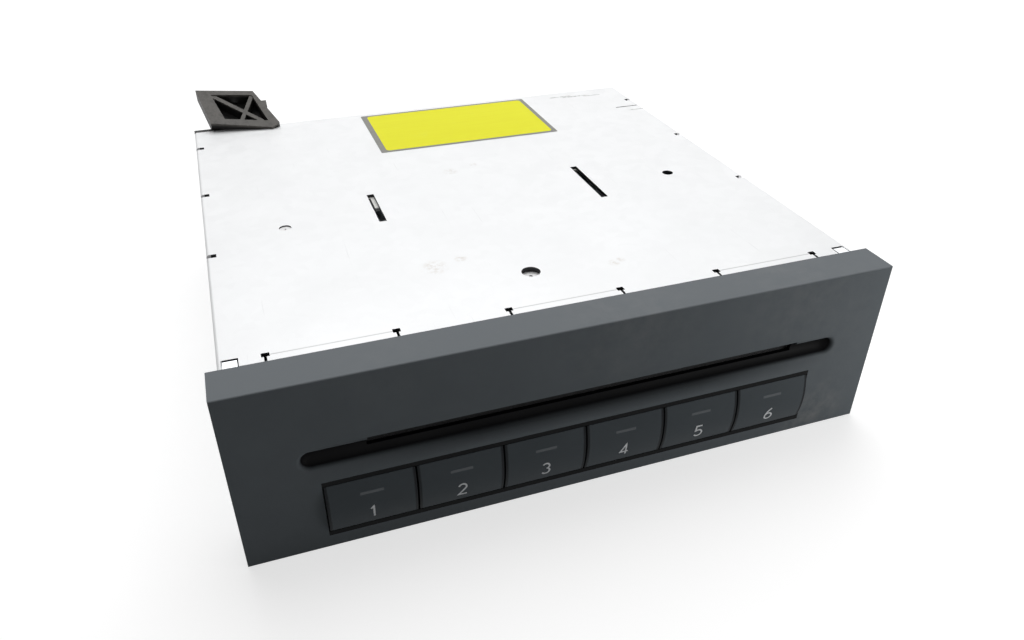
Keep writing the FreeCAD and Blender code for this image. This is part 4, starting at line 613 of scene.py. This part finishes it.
def circuit_board():
    """Green solder mask over raised tracks, with tinned pads."""
    finish = Finish("circuit_board", 0.38, Coat_Weight=0.3)
    tracks = finish.add("ShaderNodeTexBrick", {
        "Vector": finish.place, "Scale": TRACK_SCALE, "Mortar Size": TRACK_SHARE,
        "Color1": BLACK, "Color2": BLACK, "Mortar": WHITE}).outputs["Color"]
    mask = finish.blend(tracks, srgb(28, 84, 52), srgb(46, 116, 70))
    pad = finish.band(finish.cells(2.2 * MM, "Distance"), 0.10, 0.16, 1.0, 0.0)
    finish.colour(finish.blend(pad, mask, srgb(188, 190, 186)))
    finish.bump(tracks, 0.02 * MM, 0.6)
    return finish


def lens_glass():
    finish = Finish("lens_glass", 0.05, Coat_Weight=0.4, IOR=1.52, Transmission_Weight=0.7)
    ring = finish.noise(2 * MM, 1)
    finish.colour(finish.blend(ring, srgb(176, 190, 236), srgb(206, 196, 240)))
    return finish


def led_body():
    finish = Finish("led_body", 0.22, Transmission_Weight=0.2)
    core = finish.noise(0.8 * MM, 2)
    finish.colour(finish.blend(core, srgb(236, 232, 206), srgb(214, 206, 160)))
    return finish


def label_yellow():
    """Bare printed yellow: faint roller streaks and a soft rubbed bloom."""
    finish = Finish("label_yellow", 0.50, Specular_IOR_Level=0.15)
    streak = finish.noise(1.6 * MM, 4, place=finish.stretched(0.08, 1.0, 1.0))
    base = finish.blend(finish.band(streak, 0.35, 0.7), srgb(251, 249, 22), srgb(249, 246, 14))
    rub = finish.band(finish.noise(7 * MM, 5, 0.7), 0.60, 0.75, 0.0, 0.30)
    finish.colour(finish.blend(rub, base, srgb(251, 250, 70)))
    finish.bump(finish.noise(0.6 * MM, 3), 0.004 * MM, 0.5)
    return finish


def label_grey():
    finish = Finish("label_grey", 0.45, Specular_IOR_Level=0.2)
    streak = finish.noise(2.0 * MM, 4, place=finish.stretched(0.2, 1.0, 1.0))
    finish.colour(finish.blend(streak, srgb(134, 133, 128), srgb(150, 149, 143)))
    finish.bump(finish.noise(0.6 * MM, 3), 0.004 * MM, 0.5)
    return finish


def collar_floor():
    """The zinc seen at the bottom of the cover's holes, made whiter than the cover's as painted
    light.
    """
    finish = Finish("collar_floor", 0.5, 0.1)
    film = finish.noise(0.6 * MM, 3)
    finish.colour(finish.blend(film, srgb(250, 250, 250), srgb(236, 236, 236)))
    return finish


def numeral_ink():
    finish = Finish("numeral_ink", 0.55)
    wear = finish.band(finish.noise(0.7 * MM, 4, 0.7), 0.40, 0.75)
    finish.colour(finish.blend(wear, srgb(244, 246, 248), srgb(214, 217, 220)))
    return finish


def indicator_window():
    finish = Finish("indicator_window", 0.34, Specular_IOR_Level=0.4)
    haze = finish.noise(0.9 * MM, 3)
    finish.colour(finish.blend(haze, srgb(78, 84, 89), srgb(87, 93, 97)))
    return finish


FINISHES = {
    "galvanised_steel": galvanised_steel(),
    "bezel_plastic": bezel_plastic(),
    "button_plastic": button_plastic(),
    "bracket_plastic": bracket_plastic(),
    "white_plastic": clean_plastic("white_plastic", (232, 232, 228)),
    "grey_plastic": clean_plastic("grey_plastic", (150, 152, 154)),
    "circuit_board": circuit_board(),
    "black_component": moulded_plastic("black_component", (34, 34, 36), 0.50),
    "felt": felt(),
    "rubber": rubber(),
    "acetal_gear": clean_plastic("acetal_gear", (236, 232, 218), 0.38),
    "steel_shaft": turned_steel("steel_shaft", (222, 223, 225), 0.25, (1.0, 0.05, 1.0)),
    "motor_can": turned_steel("motor_can", (206, 207, 210), 0.32, (0.05, 1.0, 1.0)),
    "screw_steel": turned_steel("screw_steel", (196, 196, 194), 0.36, (1.0, 1.0, 1.0)),
    "pin_brass": turned_steel("pin_brass", (232, 196, 118), 0.28, (1.0, 0.1, 1.0)),
    "lens_glass": lens_glass(),
    "led_body": led_body(),
}

# Nodes whose finish is made for their own shape
NODE_FINISHES = {"top_cover": cover_steel(), "chassis_pan": pan_steel()}


def dress_cad_nodes():
    """Gives every CAD node its own finish, or that of its slot in the record."""
    for part in frame["record"]["subparts"]:
        name = part["node"]
        finish = NODE_FINISHES.get(name, FINISHES[part["material_slot"]])
        node = frame["nodes"][name]
        node.data.materials.clear()
        node.data.materials.append(finish.material)


# ---------------------------------------------------------------------------
# Pieces that the CAD leaves to the scene
# ---------------------------------------------------------------------------

# The bare sticker on the cover: a grey sheet under a yellow panel
STICKER_LEFT = -25.0 * MM
STICKER_RIGHT = 44.5 * MM
STICKER_FRONT = 39.5 * MM
STICKER_BACK = 80.5 * MM
STICKER_GAUGE = 0.10 * MM
STICKER_CORNER = 0.5 * MM
STICKER_EDGE = 0.03 * MM
PANEL_LEFT = STICKER_LEFT + 2.2 * MM
PANEL_RIGHT = STICKER_RIGHT - 1.7 * MM
PANEL_FRONT = STICKER_FRONT + 1.3 * MM
PANEL_BACK = STICKER_BACK - 1.3 * MM
PANEL_GAUGE = 0.02 * MM
PANEL_CORNER = 1.5 * MM
PANEL_EDGE = 0.01 * MM


def sticker():
    face = COVER_TOP + STICKER_GAUGE

    def build(work):
        sheet = rounded_outline(STICKER_LEFT, STICKER_RIGHT, STICKER_FRONT, STICKER_BACK,
                                STICKER_CORNER)
        plate(work, sheet, COVER_TOP, face, STICKER_EDGE)
        panel = rounded_outline(PANEL_LEFT, PANEL_RIGHT, PANEL_FRONT, PANEL_BACK, PANEL_CORNER)
        plate(work, panel, face, face + PANEL_GAUGE, PANEL_EDGE, slot_index=1)
    mesh_piece("cover_sticker", build, [label_grey(), label_yellow()])


# Numerals and indicator windows lie on the crowned faces of the buttons. CROWN is the arch's rise,
# and the flanges over and under it aren't part of the arch
CROWN = 1.2 * MM
BUTTON_FLANGE = 1.2 * MM
PRINT_GAUGE = 0.03 * MM
NUMERAL_LEVEL = 7.85 * MM
NUMERAL_HALF_STROKE = 0.25 * MM
DASH_LEVEL = 16.7 * MM
DASH_HALF = 3.0 * MM
DASH_HALF_STROKE = 0.4 * MM

# The largest step of a numeral's arcs, in degrees
ARC_STEP = 12


def arc(x, up, radius, start, end):
    """Points of an arc, from one angle in degrees to another."""
    steps = math.ceil(abs(end - start) / ARC_STEP)
    angles = (math.radians(start + (end - start) * step / steps) for step in range(steps + 1))
    return [(x + radius * math.cos(angle), up + radius * math.sin(angle)) for angle in angles]


# The strokes of each plain numeral in millimetres, from the middle of its foot
STROKES = {
    1: [[(-0.75, 3.15), (0.0, 4.0), (0.0, 0.0)]],
    2: [arc(0.0, 2.95, 1.05, 165, -35) + [(-1.15, 0.0), (1.15, 0.0)]],
    3: [arc(0.0, 3.0, 0.98, 150, -80), arc(0.0, 1.1, 1.1, 80, -150)],
    4: [[(0.5, 0.0), (0.5, 4.0), (-1.2, 1.05), (1.15, 1.05)]],
    5: [[(1.0, 4.0), (-0.8, 4.0), (-0.95, 2.15)] + arc(-0.05, 1.25, 1.2, 130, -150)],
    6: [arc(0.0, 1.15, 1.13, 0, 360),
        [(0.75, 4.0), (0.1, 3.55), (-0.5, 2.9), (-0.95, 2.1), (-1.13, 1.3)]],
}


class Crown:
    """The arched front face of one button."""

    def __init__(self, index):
        low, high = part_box(f"button_{index}")
        self.centre = (low.x + high.x) / 2
        self.front = low.y
        self.middle = (low.z + high.z) / 2
        half = (high.z - low.z) / 2 - BUTTON_FLANGE
        self.radius = (half * half + CROWN * CROWN) / (2 * CROWN)

    def depth(self, level):
        """How far back the face lies at a level."""
        side = level - self.middle
        return self.front + self.radius - math.sqrt(self.radius ** 2 - side ** 2)

    def place(self, x, level, out):
        return x, self.depth(level) - out, level


def numeral(index, ink):
    crown = Crown(index)

    def build(work):
        for stroke in STROKES[index]:
            points = [(crown.centre + x * MM, NUMERAL_LEVEL + up * MM) for x, up in stroke]
            ribbon(work, points, NUMERAL_HALF_STROKE, PRINT_GAUGE, crown.place)
    mesh_piece(f"numeral_{index}", build, [ink], f"button_{index}_cap")


def indicator_dash(index, pane):
    crown = Crown(index)
    ends = [(crown.centre - DASH_HALF, DASH_LEVEL), (crown.centre + DASH_HALF, DASH_LEVEL)]

    def build(work):
        ribbon(work, ends, DASH_HALF_STROKE, PRINT_GAUGE, crown.place)
    mesh_piece(f"indicator_{index}", build, [pane], f"button_{index}_cap")


# Under two of the cover's holes sit the collars of the mechanism's fixing points. In millimetres:
# x and y, radius, depth of the floor under the cover's top, and radius of the pilot hole
COLLARS = ((-4.1, -60.1, 2.7, 1.5, 0.6), (-65.5, -10.6, 1.8, 0.4, 0.3))
COLLAR_WALL = 0.4 * MM


def fixing_collars():
    under = COVER_TOP - SHEET

    def build(work):
        for x, y, radius, depth, pilot in COLLARS:
            place = (x * MM, y * MM)
            radius *= MM
            floor_top = COVER_TOP - depth * MM
            low = min(floor_top, under) - COLLAR_WALL
            turned(work, [(radius, low), (radius + COLLAR_WALL, low),
                          (radius + COLLAR_WALL, under), (radius, under)], place)
            turned(work, [(pilot * MM, low), (radius, low), (radius, floor_top),
                          (pilot * MM, floor_top)], place, slot_index=1)
    # Painted shade and light: the collar walls take the black finish as shade in the holes, and
    # their floors a whiter zinc as light
    mesh_piece("fixing_collars", build, [FINISHES["black_component"], collar_floor()])


# The white transport locks seen through the cover's two slots: a cross end in each slot, and in
# the left one also a bar, whose left and right are measured from the slot's middle
LOCK_HALF = 1.65 * MM
LOCK_END_FRONT = 4.3 * MM
LOCK_BAR_LEFT = -0.15 * MM
LOCK_BAR_FRONT = -3.6 * MM
LOCK_BAR_BACK = 6.0 * MM
LOCK_BAR_DROP = 0.015 * MM
LOCK_EDGE = 0.15 * MM


def lock_levers():
    low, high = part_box("lock_tabs")
    middle = high.x - LOCK_HALF

    def build(work):
        for x in (-middle, middle):
            end = rounded_outline(x - LOCK_HALF, x + LOCK_HALF, LOCK_END_FRONT, high.y, LOCK_EDGE)
            plate(work, end, low.z, high.z, LOCK_EDGE)
        bar = rounded_outline(LOCK_BAR_LEFT - middle, LOCK_HALF - middle, LOCK_BAR_FRONT,
                              LOCK_BAR_BACK, LOCK_EDGE)
        plate(work, bar, low.z, high.z - LOCK_BAR_DROP, LOCK_EDGE)
    piece = mesh_piece("lock_levers", build, [FINISHES["white_plastic"]])
    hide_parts("lock_tabs")


# Hexagon heads with a chamfered crown and a dished top. The sizes of the round rings are shares
# of the width across flats
HEAD_CHAMFER = 0.3 * MM
HEAD_DISH = 0.35 * MM
HEAD_CROWN = 0.90
HEAD_LAND = 0.62
HEAD_FLOOR = 0.52
HEAD_STEPS = 48


def bracket_screw_heads():
    low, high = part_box("bracket_screws")
    flat = (high.z - low.z) / 2
    corner = flat / math.cos(math.pi / 6)
    level = (low.z + high.z) / 2

    def ring(work, x, y, reach):
        """One ring of a head, whose corners lie at reach(angle) from its axis."""
        angles = [2 * math.pi * step / HEAD_STEPS for step in range(HEAD_STEPS)]
        return [work.verts.new((x + reach(angle) * math.cos(angle), y,
                                level + reach(angle) * math.sin(angle))) for angle in angles]

    def hexagon(angle):
        return flat / math.cos(angle % (math.pi / 3) - math.pi / 6)

    def build(work):
        for x in (low.x + corner, high.x - corner):
            shell(work, [ring(work, x, low.y, hexagon),
                         ring(work, x, high.y - HEAD_CHAMFER, hexagon),
                         ring(work, x, high.y, lambda _: flat * HEAD_CROWN),
                         ring(work, x, high.y, lambda _: flat * HEAD_LAND),
                         ring(work, x, high.y - HEAD_DISH, lambda _: flat * HEAD_FLOOR)])
    piece = mesh_piece("bracket_screw_heads", build, [FINISHES["screw_steel"]])
    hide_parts("bracket_screws")


# ---------------------------------------------------------------------------
# Studio
# ---------------------------------------------------------------------------

# The camera, solved from the case's edges in the photo. Its sensor and lens are in millimetres
CAMERA_PLACE = Vector((-76.4, -246.9, 166.1)) * MM
CAMERA_RIGHT = Vector((0.943, -0.334, 0.004))
CAMERA_BACK = Vector((-0.282, -0.789, 0.547))
SENSOR_WIDTH = 36.0
FOCAL_LENGTH = 29.07
NEAR_CLIP = 10.0 * MM

# Lamps: place, target and side in metres, and power in watts. A large key stands behind and
# above, and a small side lamp lights the front's right end
STUDIO_LAMPS = {
    "key": ((0.15, 0.45, 0.95), (0.0, 0.0, 0.03), 1.0, 9.9),
    "side": ((0.20, -0.20, 0.05), (0.085, -0.093, 0.03), 0.10, 0.13),
}

# The floor, in metres: its grey for light and where it is seen, and its glow, which rises from
# GLOW_LEAST to 1 between two distances from the origin
FLOOR_HALF = 3.0
FLOOR_BOUNCE = (0.40, 0.40, 0.40, 1.0)
FLOOR_PAPER = ((0.50, 0.50, 0.50, 1.0), (0.52, 0.52, 0.52, 1.0))
PAPER_GRAIN = 0.05
GLOW_NEAR = 0.3
GLOW_FAR = 1.0
GLOW_LEAST = 0.68

# The strength of the world as a light, and where it is seen
SKY_LIGHT = 0.10
SKY_SEEN = 1.0


def camera():
    data = bpy.data.cameras.new("camera")
    data.sensor_width = SENSOR_WIDTH
    data.lens = FOCAL_LENGTH
    data.clip_start = NEAR_CLIP
    holder = bpy.data.objects.new("camera", data)
    bpy.context.scene.collection.objects.link(holder)
    back = CAMERA_BACK.normalized()
    right = (CAMERA_RIGHT - back * CAMERA_RIGHT.dot(back)).normalized()
    up = back.cross(right)
    turn = Matrix((right, up, back)).transposed()
    holder.matrix_world = Matrix.Translation(CAMERA_PLACE) @ turn.to_4x4()
    bpy.context.scene.camera = holder


def lamp(name, place, target, side, power):
    data = bpy.data.lights.new(name, "AREA")
    data.shape = "SQUARE"
    data.size = side
    data.energy = power
    holder = bpy.data.objects.new(name, data)
    holder.location = place
    aim = Vector(target) - Vector(place)
    holder.rotation_euler = aim.to_track_quat("-Z", "Y").to_euler()
    holder.visible_camera = False
    bpy.context.scene.collection.objects.link(holder)


def floor():
    """A pale floor that carries the object's shadow and shows nearly white to the camera."""
    finish = Finish("floor", 0.85, Specular_IOR_Level=0.1)
    seen = finish.seen()
    paper = finish.blend(finish.noise(PAPER_GRAIN, 3), *FLOOR_PAPER)
    finish.colour(finish.blend(seen, FLOOR_BOUNCE, paper))
    away = finish.distance((0.0, 0.0, 0.0))
    glow = finish.add("ShaderNodeEmission", {
        "Color": WHITE,
        "Strength": finish.band(away, GLOW_NEAR, GLOW_FAR, GLOW_LEAST, 1.0)}).outputs[0]
    matt = finish.shader.outputs[0]
    glowing = finish.add("ShaderNodeAddShader", {0: matt, 1: glow}).outputs[0]
    finish.links.new(finish.mix_shaders(seen, matt, glowing),
                     finish.nodes["Material Output"].inputs["Surface"])
    level = cad_bounds[0].z
    mesh = bpy.data.meshes.new("floor")
    mesh.from_pydata([(-FLOOR_HALF, -FLOOR_HALF, level), (FLOOR_HALF, -FLOOR_HALF, level),
                      (FLOOR_HALF, FLOOR_HALF, level), (-FLOOR_HALF, FLOOR_HALF, level)],
                     [], [(0, 1, 2, 3)])
    mesh.materials.append(finish.material)
    holder = bpy.data.objects.new("floor", mesh)
    bpy.context.scene.collection.objects.link(holder)


def world():
    """Dim light from all round, and white wherever the surroundings are seen."""
    sky = bpy.data.worlds.new("world")
    bpy.context.scene.world = sky
    sky.use_nodes = True
    tree = Tree(sky.node_tree)
    plain = tree.nodes["Background"]
    plain.inputs["Color"].default_value = WHITE
    plain.inputs["Strength"].default_value = SKY_LIGHT
    white = tree.add("ShaderNodeBackground", {"Color": WHITE, "Strength": SKY_SEEN})
    tree.links.new(tree.mix_shaders(tree.seen(), plain.outputs[0], white.outputs[0]),
                   tree.nodes["World Output"].inputs["Surface"])


def studio():
    camera()
    floor()
    world()
    for name, (place, target, side, power) in STUDIO_LAMPS.items():
        lamp(name, place, target, side, power)
    bpy.context.scene.view_settings.view_transform = "Standard"


dress_cad_nodes()
sticker()
numeral_finish = numeral_ink()
pane_finish = indicator_window()
for number in BUTTONS:
    numeral(number, numeral_finish)
    indicator_dash(number, pane_finish)
fixing_collars()
lock_levers()
bracket_screw_heads()
studio()
